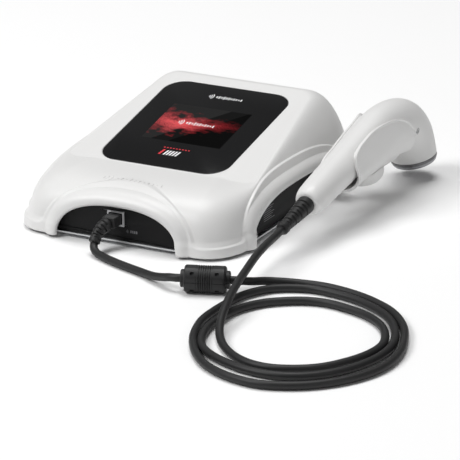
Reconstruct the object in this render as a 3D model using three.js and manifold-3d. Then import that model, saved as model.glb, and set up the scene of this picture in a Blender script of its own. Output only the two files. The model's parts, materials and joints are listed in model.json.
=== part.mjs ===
// Ultrasound therapy device: a table-top console with a sloping touch screen, an applicator that rests in a
// side holder, and a lead with a ferrite choke between them. Millimetres, +Z up, front towards -Y.
import * as THREE from "three";
import { mergeVertices } from "three/addons/utils/BufferGeometryUtils.js";
import Module from "manifold-3d";

const wasm = await Module();
wasm.setup();

// ---------------------------------------------------------------- driving dimensions
const GAP = 0.3; // clearance left between pieces that touch
const TILT = THREE.MathUtils.degToRad(12); // slope of the screen face
const EDGE_Z = 54.6; // height of the screen face at its front edge, y = 0
const RIM_Z = 3; // height of the housing's lower rim
const WALL = 2.6; // housing wall

// plan outlines of the housing: the crease round the screen face, and the wall's foot inside the raised
// border
const CREASE = { hf: 99, hr: 79, yf: -2, yr: 171.5, fx: 30, fy: 14, rx: 15, ry: 15, n: 2.2 };
const FOOT = { hf: 111.6, hr: 111.6, yf: -76.6, yr: 212, fx: 34, fy: 49, rx: 32, ry: 36, n: 2.3 };
const ROUNDNESS = { front: 4, side: 1.75, rear: 2.2 }; // superellipse power of the wall's profile
const MARGIN_FALL = 0.15; // sideways fall of the face beside the screen
// raised border round the foot and the arches
const BORDER = { height: 10.5, lift: 3.2, fillet: 5, blend: 9 };
const BROW = { lift: 3.4, width: 12 }; // rolled edge over each arch

const SCREEN = { width: 133, length: 160.7, radius: 21, glass: 1.6, ledge: 5, window: [83.4, 69.2],
  windowAt: 47.3 };
const FRONT_ARCH = { half: 62.5, top: 36.3, n: 2.5, borderHalf: 77, borderTop: 52, borderN: 2.4 };
const SIDE_ARCH = { y: 70, half: 97.5, top: 35.5, n: 2.7, borderY: 74, borderHalf: 115, borderTop: 55,
  borderN: 2.5 };

const PLATE = { z: 3.6, t: 1.5 };
const PANEL = { t: 2, bottom: 5.4 };
const FRONT_PANEL_Y = -72.6;
const REAR_PANEL_Y = 206.5;
const SIDE_PANEL_X = 107.4;

const HANDSET = { end: [150, 13, 38.5], pitch: 10, roll: 8 }; // centre of the cable end, degrees
const HANDSET_WALL = 2.2;
const HOLDER_WALL = 2.5;
const SOUND_HEAD = { u: 213.1, w: -55, radius: 22.9 };
const RELIEF = { from: -3.3, to: -54.8, base: 8.4, tip: 4.75 }; // strain relief on the handset
const LEAD_D = 7.4;
const PLUG = { length: 15.4, w: 13.2, h: 10.4 };
const ROCKER_TILT = 9;
const SCREW_Y = [117, 159]; // screws that hold the holder's arm to the side panel
const CHOKE = { x: 127.5, y: -147.35, z: 12.4, heading: 20.26, half: 22.1, radius: 12.4 };

const COLOUR = {
  shell: [0xf1f0ee, 0.38, 0], panel: [0x1b1b1c, 0.42, 0], glass: [0x0b0b0c, 0.08, 0],
    rubber: [0x1a1a1a, 0.7, 0],
  steel: [0xb9bbbd, 0.35, 1], aluminium: [0xc9cbcd, 0.3, 1], board: [0x1d5b36, 0.5, 0],
    component: [0x2a2b2e, 0.5, 0],
  copper: [0xb87333, 0.35, 1], ceramic: [0xd9d2c0, 0.5, 0], ferrite: [0x2b2b2d, 0.6, 0.1],
    light: [0xc6c8ca, 0.4, 0.2],
};

// ---------------------------------------------------------------- geometry helpers
const V = (x, y, z) => new THREE.Vector3(x, y, z);
const lerp = (a, b, k) => a + (b - a) * k;
const ease = (k) => 0.5 - 0.5 * Math.cos(Math.PI * Math.min(1, Math.max(0, k)));

function fromTriangles(points, faces) {
  let volume = 0;
  for (const [a, b, c] of faces) volume += points[a].dot(points[b].clone().cross(points[c]));
  const turned = volume < 0 ? faces.map(([a, b, c]) => [a, c, b]) : faces;
  const geometry = new THREE.BufferGeometry();
  geometry.setAttribute("position", new THREE.Float32BufferAttribute(points.flatMap((p) => p.toArray()), 3));
  geometry.setIndex(turned.flat());
  return geometry;
}

// skin over equal loops of points; the stack closes on itself ("ring") or its ends are capped,
// as a fan round the middle or, for a C-shaped loop, as a strip between its two halves
function loft(loops, ends) {
  const n = loops[0].length;
  const points = loops.flat();
  const faces = [];
  const stacks = ends === "ring" ? loops.length : loops.length - 1;
  for (let i = 0; i < stacks; i++) {
    for (let j = 0; j < n; j++) {
      const a = i * n + j;
      const b = i * n + ((j + 1) % n);
      const c = ((i + 1) % loops.length) * n + j;
      const d = ((i + 1) % loops.length) * n + ((j + 1) % n);
      faces.push([a, b, d], [a, d, c]);
    }
  }
  if (ends === "fan") {
    for (const [at, flip] of [[0, true], [loops.length - 1, false]]) {
      const hub = points.length;
      points.push(loops[at].reduce((sum, p) => sum.add(p), V(0, 0, 0)).divideScalar(n));
      for (let j = 0; j < n; j++) {
        const [a, b] = [at * n + j, at * n + ((j + 1) % n)];
        faces.push(flip ? [hub, b, a] : [hub, a, b]);
      }
    }
  }
  if (ends === "strip") {
    for (const [at, flip] of [[0, true], [loops.length - 1, false]]) {
      for (let j = 0; j < n / 2 - 1; j++) {
        const [a, b, c, d] = [j, j + 1, n - 2 - j, n - 1 - j].map((k) => at * n + k);
        faces.push(...(flip ? [[a, c, b], [a, d, c]] : [[a, b, c], [a, c, d]]));
      }
    }
  }
  return fromTriangles(points, faces);
}

// turns the faces of a closed geometry outwards
function outward(geometry) {
  const p = geometry.attributes.position;
  const index = geometry.index ? geometry.index.array : [...Array(p.count).keys()];
  const corner = (k) => V(p.getX(index[k]), p.getY(index[k]), p.getZ(index[k]));
  let volume = 0;
  for (let k = 0; k < index.length; k += 3) volume += corner(k).dot(corner(k + 1).cross(corner(k + 2)));
  const faces = [...index];
  for (let k = 0; volume < 0 && k < faces.length; k += 3) [faces[k], faces[k + 1]] = [faces[k + 1], faces[k]];
  geometry.setIndex(faces);
  return geometry;
}

function solid(geometry) {
  const bare = geometry.clone();
  bare.deleteAttribute("normal");
  bare.deleteAttribute("uv");
  const merged = outward(mergeVertices(bare, 1e-4));
  const vertProperties = new Float32Array(merged.attributes.position.array);
  return new wasm.Manifold(new wasm.Mesh({ numProp: 3, vertProperties,
    triVerts: new Uint32Array(merged.index.array) }));
}

function surface(manifold) {
  const mesh = manifold.getMesh();
  const geometry = new THREE.BufferGeometry();
  geometry.setAttribute("position", new THREE.BufferAttribute(new Float32Array(mesh.vertProperties), 3));
  geometry.setIndex(new THREE.BufferAttribute(new Uint32Array(mesh.triVerts), 1));
  return geometry;
}

const cut = (from, ...tools) => surface(tools.reduce((body, tool) => body.subtract(solid(tool)),
  solid(from)));
const join = (...pieces) => surface(pieces.slice(1)
  .reduce((body, piece) => body.add(solid(piece)), solid(pieces[0])));
const common = (a, b) => surface(solid(a).intersect(solid(b)));

// box given by its middle in x and y and its lowest z
const box = (x, y, z, w, d, h) => new THREE.BoxGeometry(w, d, h).translate(x, y, z + h / 2);

function disc(radius, height, segments = 24, top = radius) {
  return new THREE.CylinderGeometry(top, radius, height, segments).rotateX(Math.PI / 2)
    .translate(0, 0, height / 2);
}

function turned(profile, segments = 32) {
  const points = profile.map(([r, z]) => new THREE.Vector2(r, z));
  return new THREE.LatheGeometry(points, segments).rotateX(Math.PI / 2);
}

function roundedRect(w, d, r) {
  const shape = new THREE.Shape();
  shape.absarc(w / 2 - r, d / 2 - r, r, 0, Math.PI / 2);
  shape.absarc(-w / 2 + r, d / 2 - r, r, Math.PI / 2, Math.PI);
  shape.absarc(-w / 2 + r, -d / 2 + r, r, Math.PI, 1.5 * Math.PI);
  shape.absarc(w / 2 - r, -d / 2 + r, r, 1.5 * Math.PI, 2 * Math.PI);
  return shape;
}

function slab(shape, depth, curveSegments = 6) {
  return new THREE.ExtrudeGeometry(shape, { depth, bevelEnabled: false, curveSegments });
}

const roundedBox = (x, y, z, w, d, h, r) => slab(roundedRect(w, d, r), h).translate(x, y, z);
const shapeOf = (points) => new THREE.Shape(points.map(([x, y]) => new THREE.Vector2(x, y)));

// outline drawn in x and z (or y and z), raised along y (or x)
const alongY = (shape, y0, y1) => slab(shape, y1 - y0, 12).rotateX(Math.PI / 2).translate(0, y1, 0);
const alongX = (shape, x0, x1) => slab(shape, x1 - x0, 12).rotateX(Math.PI / 2).rotateZ(Math.PI / 2)
  .translate(x0, 0, 0);

function tube(points, diameter, sides, steps) {
  const section = new THREE.Shape();
  for (let i = 0; i < sides; i++) {
    const a = (2 * Math.PI * i) / sides;
    const at = [(Math.cos(a) * diameter) / 2, (Math.sin(a) * diameter) / 2];
    if (i === 0) section.moveTo(...at);
    else section.lineTo(...at);
  }
  section.closePath();
  const extrudePath = new THREE.CatmullRomCurve3(points.map((p) => V(...p)), false, "centripetal");
  return new THREE.ExtrudeGeometry(section, { steps, bevelEnabled: false, extrudePath });
}

const device = new THREE.Group();

function add(name, geometry, [color, roughness, metalness], parent = device) {
  const mesh = new THREE.Mesh(geometry, new THREE.MeshStandardMaterial({ color, roughness, metalness }));
  mesh.name = name;
  parent.add(mesh);
  return mesh;
}

// ---------------------------------------------------------------- the housing's surface
// A place on the wall is (t, s): t runs 0 to 5 from mid front round the right side to mid rear,
// s runs from 0 at the crease to 1 at the foot. The left side mirrors the right.
function outline(t, o) {
  if (t <= 1) return [(o.hf - o.fx) * t, o.yf];
  if (t <= 2) {
    const a = ((t - 1) * Math.PI) / 2;
    return [o.hf - o.fx + o.fx * Math.sin(a) ** (2 / o.n), o.yf + o.fy - o.fy * Math.cos(a) ** (2 / o.n)];
  }
  const [start, end] = [o.yf + o.fy, o.yr - o.ry];
  if (t <= 3) return [lerp(o.hf, o.hr, t - 2), lerp(start, end, t - 2)];
  if (t <= 4) {
    const a = ((t - 3) * Math.PI) / 2;
    return [o.hr - o.rx + o.rx * Math.cos(a) ** (2 / o.n), end + o.ry * Math.sin(a) ** (2 / o.n)];
  }
  return [(o.hr - o.rx) * (5 - t), o.yr];
}

function roundness(t) {
  const { front, side, rear } = ROUNDNESS;
  return t < 2 ? lerp(front, side, ease((t - 0.3) / 1.6)) : lerp(side, rear, ease(t - 3));
}

function faceZ(x, y) {
  const beside = Math.max(0, Math.abs(x) - SCREEN.width / 2 - 2);
  return EDGE_Z + Math.tan(TILT) * y - MARGIN_FALL * beside;
}

function wall(t, s) {
  const [tx, ty] = outline(t, CREASE);
  const [bx, by] = outline(t, FOOT);
  const n = roundness(t);
  const out = Math.sin((s * Math.PI) / 2) ** (2 / n);
  const down = 1 - Math.cos((s * Math.PI) / 2) ** (2 / n);
  const z = faceZ(tx, ty);
  return V(lerp(tx, bx, out), lerp(ty, by, out), lerp(z, RIM_Z, down));
}

// s at which the wall at t reaches the height z
function heightToS(t, z) {
  const top = faceZ(...outline(t, CREASE));
  const left = Math.min(1, Math.max(0, (z - RIM_Z) / (top - RIM_Z)));
  return (2 / Math.PI) * Math.acos(left ** (roundness(t) / 2));
}

// distance, about in millimetres, outwards from a half superellipse that stands on the rim
function archDistance(dx, dz, half, height, n) {
  const [u, v] = [Math.abs(dx) / half, Math.max(0, dz) / height];
  const rho = Math.max(1e-3, (u ** n + v ** n) ** (1 / n));
  const slope = (rho ** (1 - n)) * Math.hypot(u ** (n - 1) / half, v ** (n - 1) / height);
  return (rho - 1) / Math.max(slope, 1e-4);
}

const softMin = (a, b, k) => {
  const h = Math.max(k - Math.abs(a - b), 0) / k;
  return Math.min(a, b) - (h * h * k) / 4;
};

// how far the border, and the rolled brow over each arch, stand out of the wall
function relief(p, t) {
  const f = FRONT_ARCH;
  const g = SIDE_ARCH;
  const dz = p.z - RIM_Z;
  const alongFront = t < 1.5 || t > 3.5;
  const opening = alongFront
    ? archDistance(p.x, dz, f.half, f.top - RIM_Z, f.n)
    : archDistance(p.y - g.y, dz, g.half, g.top - RIM_Z, g.n);
  const arch = alongFront
    ? archDistance(p.x, dz, f.borderHalf, f.borderTop - RIM_Z, f.borderN)
    : archDistance(p.y - g.borderY, dz, g.borderHalf, g.borderTop - RIM_Z, g.borderN);
  const border = softMin(arch, p.z - BORDER.height, BORDER.blend);
  const lip = BORDER.lift * (1 - ease(border / BORDER.fillet));
  const k = Math.min(1, Math.max(0, opening / BROW.width));
  const brow = BROW.lift * (k < 0.35 ? 0.35 + 0.65 * ease(k / 0.35) : 1 - ease((k - 0.35) / 0.65));
  return { offset: lip + brow, border, opening };
}

function wallNormal(t, s) {
  const d = 0.004;
  const du = wall(Math.min(5, t + d), s).sub(wall(Math.max(0, t - d), s));
  const dv = wall(t, Math.min(1, s + d)).sub(wall(t, Math.max(0, s - d)));
  const n = dv.cross(du).normalize();
  if (n.z < -0.2 || n.x * wall(t, s).x + n.y * (wall(t, s).y - 70) < -1e-6) n.negate();
  return n;
}

function skin(t, s, depth) {
  const p = wall(t, s);
  const { offset } = relief(p, t);
  return p.addScaledVector(wallNormal(t, s), offset - depth);
}

// the columns of the skin on the right half: each starts on the lower edge and ends on the crease
const EDGE_COLUMNS = { front: 9, corner: 5, side: 12, rearCorner: 5, rear: 9 };

function edgeColumns() {
  const columns = [];
  const f = FRONT_ARCH;
  const g = SIDE_ARCH;
  const frontFoot = f.half / (FOOT.hf - FOOT.fx);
  const footSpan = FOOT.yr - FOOT.ry - FOOT.yf - FOOT.fy;
  const sideT = (y) => 2 + (y - FOOT.yf - FOOT.fy) / footSpan;
  const arc = (angle, n) => [Math.cos(angle) ** (2 / n), Math.sin(angle) ** (2 / n)];
  const put = (t, z) => columns.push([t, z <= RIM_Z ? 1 : heightToS(t, z)]);
  const c = EDGE_COLUMNS;
  for (let i = 0; i < c.front; i++) {
    const [a, b] = arc(Math.PI / 2 * (1 - i / c.front), f.n);
    put(frontFoot * a, RIM_Z + (f.top - RIM_Z) * b);
  }
  const [sideStart, sideEnd] = [sideT(g.y - g.half), sideT(g.y + g.half)];
  for (let i = 0; i < c.corner; i++) put(lerp(frontFoot, sideStart, i / c.corner), RIM_Z);
  for (let i = 0; i < c.side; i++) {
    const angle = Math.PI * (1 - i / c.side);
    const [a, b] = arc(Math.min(angle, Math.PI - angle), g.n);
    put(lerp(sideStart, sideEnd, 0.5 + 0.5 * Math.sign(Math.cos(angle)) * a), RIM_Z + (g.top - RIM_Z) * b);
  }
  const rearFoot = 5 - f.half / (FOOT.hr - FOOT.rx);
  for (let i = 0; i < c.rearCorner; i++) put(lerp(sideEnd, rearFoot, i / c.rearCorner), RIM_Z);
  for (let i = 0; i <= c.rear; i++) {
    const [a, b] = arc((Math.PI / 2) * (i / c.rear), f.n);
    put(5 - (5 - rearFoot) * a, RIM_Z + (f.top - RIM_Z) * b);
  }
  return columns;
}

// where each column meets the crease, spread evenly along it
function creaseColumns() {
  const c = EDGE_COLUMNS;
  const stops = [[0, 0], [c.front, 0.9], [c.corner, 2.1], [c.side, 2.9], [c.rearCorner, 4.1], [c.rear, 5]];
  const ends = [0];
  for (let k = 1; k < stops.length; k++) {
    for (let i = 1; i <= stops[k][0]; i++) ends.push(lerp(stops[k - 1][1], stops[k][1], i / stops[k][0]));
  }
  return ends;
}

// rows of one column, as (t, s), packed closer over the brow and the border
function columnRows([edgeT, edgeS], creaseT) {
  const at = (r) => [lerp(edgeT, creaseT, r), edgeS * (1 - r)];
  const first = (test, from) => {
    for (let r = from; r < 1; r += 0.004) {
      const [t, s] = at(r);
      if (test(relief(wall(t, s), t))) return r;
    }
    return 1;
  };
  const brow = Math.min(0.5, first((f) => f.opening >= BROW.width, 0.03));
  const lip = Math.min(0.8, first((f) => f.border >= 0, brow + 0.04));
  const clear = Math.min(0.86, Math.max(lip + 0.03, first((f) => f.border >= BORDER.fillet, lip)));
  const rows = [0, 0.35 * brow, 0.7 * brow, brow, lerp(brow, lip, 0.5), lip, lerp(lip, clear, 0.5), clear];
  for (const k of [0.2, 0.4, 0.6, 0.8]) rows.push(lerp(clear, 1, k));
  return rows.map(at);
}

const facePoint = (x, v, w) =>
  V(x, v * Math.cos(TILT) - w * Math.sin(TILT), EDGE_Z + v * Math.sin(TILT) + w * Math.cos(TILT));

function housing() {
  const edges = edgeColumns();
  const ends = creaseColumns();
  const columns = edges.map((edge, j) => columnRows(edge, ends[j]));
  const rowCount = columns[0].length;
  const mirrored = (half) => [...half, ...half.slice(1, -1).reverse().map((p) => V(-p.x, p.y, p.z))];
  const skinRow = (i, depth) => mirrored(columns.map((rows) => skin(...rows[i], depth)));
  const faceRing = (inset, depth) => {
    const { width: w, length: l, radius: r } = SCREEN;
    const o = { hf: w / 2 - inset, hr: w / 2 - inset, yf: inset, yr: l - inset, n: 2 };
    Object.assign(o, { fx: r - inset, fy: r - inset, rx: r - inset, ry: r - inset });
    return mirrored(ends.map((t) => facePoint(...outline(t, o), -depth)));
  };
  const creaseRing = mirrored(ends.map((t) => V(...outline(t, CREASE), faceZ(...outline(t, CREASE)))));
  const pocket = SCREEN.glass + GAP;
  const loops = [];
  for (let i = 0; i < rowCount; i++) loops.push(skinRow(i, 0));
  loops.push(creaseRing, faceRing(-2 * GAP, 0), faceRing(-2 * GAP, pocket));
  loops.push(faceRing(SCREEN.ledge, pocket), faceRing(SCREEN.ledge, pocket + WALL));
  for (let i = rowCount - 1; i >= 0; i -= 2) loops.push(skinRow(i, WALL));
  loops.push(skinRow(0, WALL));
  return loft(loops, "ring");
}

// ---------------------------------------------------------------- console
const insetPlan = (o, by) => {
  const plan = { ...o, hf: o.hf - by, hr: o.hr - by, yf: o.yf + by, yr: o.yr - by };
  const half = [];
  for (let k = 0; k <= 40; k++) half.push(outline((5 * k) / 40, plan));
  return shapeOf([...half, ...half.slice(1, -1).reverse().map(([x, y]) => [-x, y])]);
};

const SOCKET = { x: -4, z: 25.4, w: 13, h: 10.2 };
const INLET = { x: 26, z: 21, w: 27.5, h: 20 };
const SWITCH = { x: -26, z: 21, w: 13, h: 19.5 };
const FUSE = { x: 0, z: 21, radius: 6.4 };
const FEET = [[-92, -54], [92, -54], [-92, 188], [92, 188]];
const POSTS = [[-84, -38], [84, -38], [-84, 172], [84, 172]];

// a panel behind an arch: the arch's own curve, a little larger
function panelShape(arch, grow, bottom) {
  const points = [];
  for (let k = 0; k <= 24; k++) {
    const a = (Math.PI * k) / 24;
    const c = Math.cos(a);
    const across = Math.sign(c) * Math.abs(c) ** (2 / arch.n) * (arch.half + grow);
    points.push([across, Math.max(bottom, RIM_Z + (arch.top - RIM_Z + grow) * Math.sin(a) ** (2 / arch.n))]);
  }
  return shapeOf(points);
}

function basePlate() {
  const plate = slab(insetPlan(FOOT, 1), PLATE.t).translate(0, 0, PLATE.z);
  const holes = [...FEET, ...POSTS].map(([x, y]) => disc(1.9, 6, 12).translate(x, y, PLATE.z - 2));
  return cut(plate, ...holes);
}

function foot(x, y) {
  const pad = turned([[0, 0], [7.5, 0], [8.5, 1.2], [7, PLATE.z - GAP], [0, PLATE.z - GAP]], 24);
  const stem = disc(1.5, 4.6, 12).translate(0, 0, PLATE.z - GAP - 1);
  return join(pad, stem).translate(x, y, 0);
}

function postScrew(x, y) {
  const head = disc(2.9, 1.6, 16).translate(0, 0, PLATE.z - GAP - 1.6);
  return join(head, disc(1.4, 9, 12).translate(0, 0, PLATE.z - 1)).translate(x, y, 0);
}

function addConsole() {
  add("upper_housing", housing(), COLOUR.shell);
  add("base_plate", basePlate(), COLOUR.steel);
  const front = slab(panelShape(FRONT_ARCH, 2, PANEL.bottom), PANEL.t).rotateX(Math.PI / 2)
    .translate(0, FRONT_PANEL_Y + PANEL.t, 0);
  const socketHole = box(SOCKET.x, FRONT_PANEL_Y + 1, SOCKET.z - SOCKET.h / 2 - GAP, SOCKET.w + 2 * GAP, 8,
    SOCKET.h + 2 * GAP);
  add("front_panel", cut(front, socketHole), COLOUR.panel);
  for (const side of [-1, 1]) {
    const shape = panelShape(SIDE_ARCH, 2, PANEL.bottom);
    const panel = slab(shape, PANEL.t).rotateX(Math.PI / 2).rotateZ(Math.PI / 2);
    panel.translate(side * SIDE_PANEL_X - (side > 0 ? PANEL.t : 0), SIDE_ARCH.y, 0);
    add(side < 0 ? "left_panel" : "right_panel", panel, COLOUR.panel);
  }
  const rear = slab(panelShape(FRONT_ARCH, 2, PANEL.bottom), PANEL.t).rotateX(Math.PI / 2)
    .translate(0, REAR_PANEL_Y + PANEL.t, 0);
  const openings = [INLET, SWITCH].map((o) => box(o.x, REAR_PANEL_Y, o.z - o.h / 2 - GAP, o.w + 2 * GAP, 12,
    o.h + 2 * GAP));
  const fuseHole = disc(FUSE.radius + GAP, 12).rotateX(Math.PI / 2)
    .translate(FUSE.x, REAR_PANEL_Y + 6, FUSE.z);
  add("rear_panel", cut(rear, ...openings, fuseHole), COLOUR.panel);
  FEET.forEach(([x, y], i) => add(`rubber_foot_${i + 1}`, foot(x, y), COLOUR.rubber));
  POSTS.forEach(([x, y], i) => add(`base_screw_${i + 1}`, postScrew(x, y), COLOUR.steel));
}

// the screen stack, built flat and laid on the sloping face
function addScreen() {
  const face = new THREE.Group();
  face.rotation.x = TILT;
  face.position.set(0, 0, EDGE_Z);
  device.add(face);
  const { width: w, length: l, radius: r, glass, ledge, window: [ww, wl], windowAt } = SCREEN;
  add("touch_glass", roundedBox(0, l / 2, -glass, w, l, glass, r), COLOUR.glass, face);
  const under = -glass - WALL - 2 * GAP;
  const windowY = windowAt + wl / 2;
  const gasket = cut(roundedBox(0, windowY, under - 0.9, ww + 14, wl + 14, 1.2 + WALL, 6),
    roundedBox(0, windowY, under - 2, ww + 4, wl + 4, 8, 3));
  add("screen_gasket", gasket, COLOUR.rubber, face);
  add("display_module", join(box(0, windowY, under - 8.2, ww + 12, wl + 12, 5.6),
    box(0, windowY, under - 2.8, ww, wl, 2.2)),
    COLOUR.component, face);
  add("display_bracket", cut(box(0, windowY, under - 10.6, ww + 22, wl + 18, 1.6),
    box(0, windowY, under - 12, ww - 16, wl - 16, 5)),
    COLOUR.steel, face);
}

function board(x, y, z, w, d, parts) {
  return join(box(x, y, z, w, d, 1.6),
    ...parts.map(([px, py, pw, pd, ph]) => box(x + px, y + py, z + 1.5, pw, pd, ph + 0.1)));
}

function addElectronics() {
  const z = PLATE.z + PLATE.t + 6;
  const pillars = (x, y, w, d) => [[-1, -1], [1, -1], [1, 1], [-1, 1]].map(([a, b]) =>
    disc(2.6, 6 - GAP + 0.5, 12).translate(x + a * (w / 2 - 5), y + b * (d / 2 - 5),
      PLATE.z + PLATE.t + GAP));
  const onPillars = (x, y, w, d, parts) => join(board(x, y, z, w, d, parts), ...pillars(x, y, w, d));
  add("control_board", onPillars(-38, 24, 92, 84,
    [[-20, 10, 22, 22, 3], [18, -16, 16, 16, 2.4], [24, 22, 26, 9, 8], [-28, -26, 14, 8, 7]]),
    COLOUR.board);
  add("ultrasound_driver_board", onPillars(52, 22, 72, 88,
    [[-14, -22, 18, 18, 12], [14, -20, 12, 22, 10], [-16, 18, 14, 14, 4]]),
    COLOUR.board);
  add("power_supply_board", onPillars(-38, 126, 92, 84,
    [[-26, 24, 26, 22, 18], [22, 24, 14, 30, 16], [20, -26, 30, 26, 20]]), COLOUR.board);
  const fins = [];
  for (let i = 0; i < 8; i++) fins.push(box(66 - 21 + i * 6, 124, z + 5.9, 2, 60, 20));
  add("heat_sink", join(box(66, 124, z, 46, 60, 6), ...fins,
    box(66, 124, PLATE.z + PLATE.t + GAP, 20, 40, 6)), COLOUR.aluminium);
  const core = cut(box(58, 178, PLATE.z + PLATE.t + GAP, 44, 24, 36), box(47, 178, 12, 9, 40, 24),
    box(69, 178, 12, 9, 40, 24));
  add("choke_core", core, COLOUR.ferrite);
  add("choke_winding", cut(roundedBox(58, 178, 13, 22, 34, 22, 3),
    box(58, 178, 10, 13 + 2 * GAP, 24 + 2 * GAP, 40)), COLOUR.copper);
  const cone = turned([[0, 0], [12, 0], [12, 4], [8, 9], [8, 13], [0, 13]], 28);
  add("speaker", cone.translate(22, 82, PLATE.z + PLATE.t + GAP), COLOUR.component);
}

function addRearFittings() {
  const back = REAR_PANEL_Y + PANEL.t + GAP;
  const inlet = cut(join(box(INLET.x, back - 8, INLET.z - INLET.h / 2, INLET.w, 18, INLET.h),
    box(INLET.x, back + 0.9, INLET.z - INLET.h / 2 - 2, INLET.w + 4, 1.8, INLET.h + 4)),
    box(INLET.x, back - 5, INLET.z - 8, 24, 14 + 4, 16));
  const pins = [[-7, 1.5], [0, -2.5],
    [7, 1.5]].map(([dx, dz]) => box(INLET.x + dx, back - 9.5, INLET.z + dz - 2, 2, 10, 4));
  add("power_inlet", join(inlet, ...pins), COLOUR.panel);

  const frame = cut(join(box(SWITCH.x, back - 6, SWITCH.z - SWITCH.h / 2, SWITCH.w, 14, SWITCH.h),
    box(SWITCH.x, back + 0.9, SWITCH.z - SWITCH.h / 2 - 1.5, SWITCH.w + 3, 1.8, SWITCH.h + 3)),
    box(SWITCH.x, back - 3, SWITCH.z - 8.3, 9.8, 15, 16.6));
  add("switch_frame", frame, COLOUR.panel);
  const profile = shapeOf([[-3.4, 0], [0.6, -7.2], [4.2, -7.2], [2.2, 0], [4.2, 7.2], [0.6, 7.2]]);
  const rocker = new THREE.Group();
  rocker.position.set(SWITCH.x, back - 3, SWITCH.z);
  rocker.rotation.x = THREE.MathUtils.degToRad(ROCKER_TILT);
  device.add(rocker);
  add("power_rocker", alongX(profile, -4.5, 4.5), COLOUR.panel, rocker);

  const holder = turned([[4.6, -14], [FUSE.radius, -14], [FUSE.radius, 0], [8.2, 0], [8.2, 1.6], [4.6, 1.6],
    [4.6, -14]], 28);
  add("fuse_holder", holder.rotateX(-Math.PI / 2).translate(FUSE.x, back, FUSE.z), COLOUR.panel);
  const cap = cut(turned([[0, -12], [4.2, -12], [4.2, 2.2], [6.4, 2.2], [6, 5.4], [0, 5.4]], 28),
    box(0, 0, 4.2, 9, 1.4, 3));
  add("fuse_cap", cap.rotateX(-Math.PI / 2).translate(FUSE.x, back, FUSE.z), COLOUR.panel);
}

function addSocket() {
  const front = FRONT_PANEL_Y;
  const at = (y0, y1, w, h) => box(SOCKET.x, (y0 + y1) / 2, SOCKET.z - h / 2, w, y1 - y0, h);
  const body = cut(join(at(front, front + 14, SOCKET.w, SOCKET.h),
    at(front + PANEL.t + GAP, front + PANEL.t + 2, 18, 14)),
    at(front - 1, front + 10, 9.8, 7.8));
  add("applicator_socket", body, COLOUR.panel);
  const bezel = cut(at(front - GAP - 1, front - GAP, 17.2, 14.2), at(front - 3, front + 1, 14, 11.2));
  add("socket_bezel", bezel, COLOUR.light);
  const plug = join(at(front - PLUG.length, front - 1.8, PLUG.w, PLUG.h), at(front - 2, front + 8.5, 9, 7));
  add("applicator_plug", plug, COLOUR.rubber);
}

// ---------------------------------------------------------------- applicator's frame
// the applicator and its holder share one frame: Y runs from the cable end to the head, Z up off the
// handle's back
function handFrame() {
  const frame = new THREE.Group();
  frame.position.set(...HANDSET.end);
  frame.rotation.set(THREE.MathUtils.degToRad(HANDSET.pitch), THREE.MathUtils.degToRad(-HANDSET.roll), 0);
  device.add(frame);
  frame.updateMatrixWorld(true);
  return frame;
}

// ---------------------------------------------------------------- side holder
// the trough's inside at stations along the handle, and how much thicker its floor is than its walls
const TROUGH = [ // [y, half width, depth, extra floor]
  [58, 19, 18.6, 0], [90, 19.8, 20, 0.6], [115, 20.6, 21.2, 3], [134, 21.2, 22.4, 5.2],
  [152, 21.8, 25, 6], [170, 23.8, 29, 6], [192, 27.2, 33, 6],
];
const OUTER_EAR = [
  [64, -42], [64, -15], [66.4, -10], [66, -2], [64.6, 6], [64.8, 12], [67.4, 16], [74.7, 19.1], [89, 21],
  [103, 21.8],
  [116, 20.7], [128.5, 18.4], [141, 15.4], [156, 10], [163, 6], [169, 0.5], [173.3, -6], [176, -13.3],
  [177, -20],
  [176, -28], [172, -35], [165, -42],
];
const INNER_EAR = [
  [64, -42], [65, -7], [76, 2.3], [104, 5.2], [137, 7.2], [160, 7.6], [172, 7.2], [178, 3], [179, -8],
  [172, -42],
];

function trough(grow, floor = 0) {
  const sides = 18;
  return loft(TROUGH.map(([y, half, inside, extra]) => {
    const depth = inside + extra * floor;
    const loop = [V(half + grow, y, 44)];
    for (let k = 0; k <= sides; k++) {
      const a = (Math.PI * k) / sides;
      const c = Math.cos(a);
      const [across, down] = [Math.sign(c) * Math.abs(c) ** (2 / 2.5), Math.sin(a) ** (2 / 2.5)];
      loop.push(V((half + grow) * across, y, -(depth + grow) * down));
    }
    return [...loop, V(-half - grow, y, 44)];
  }), "fan");
}

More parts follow.
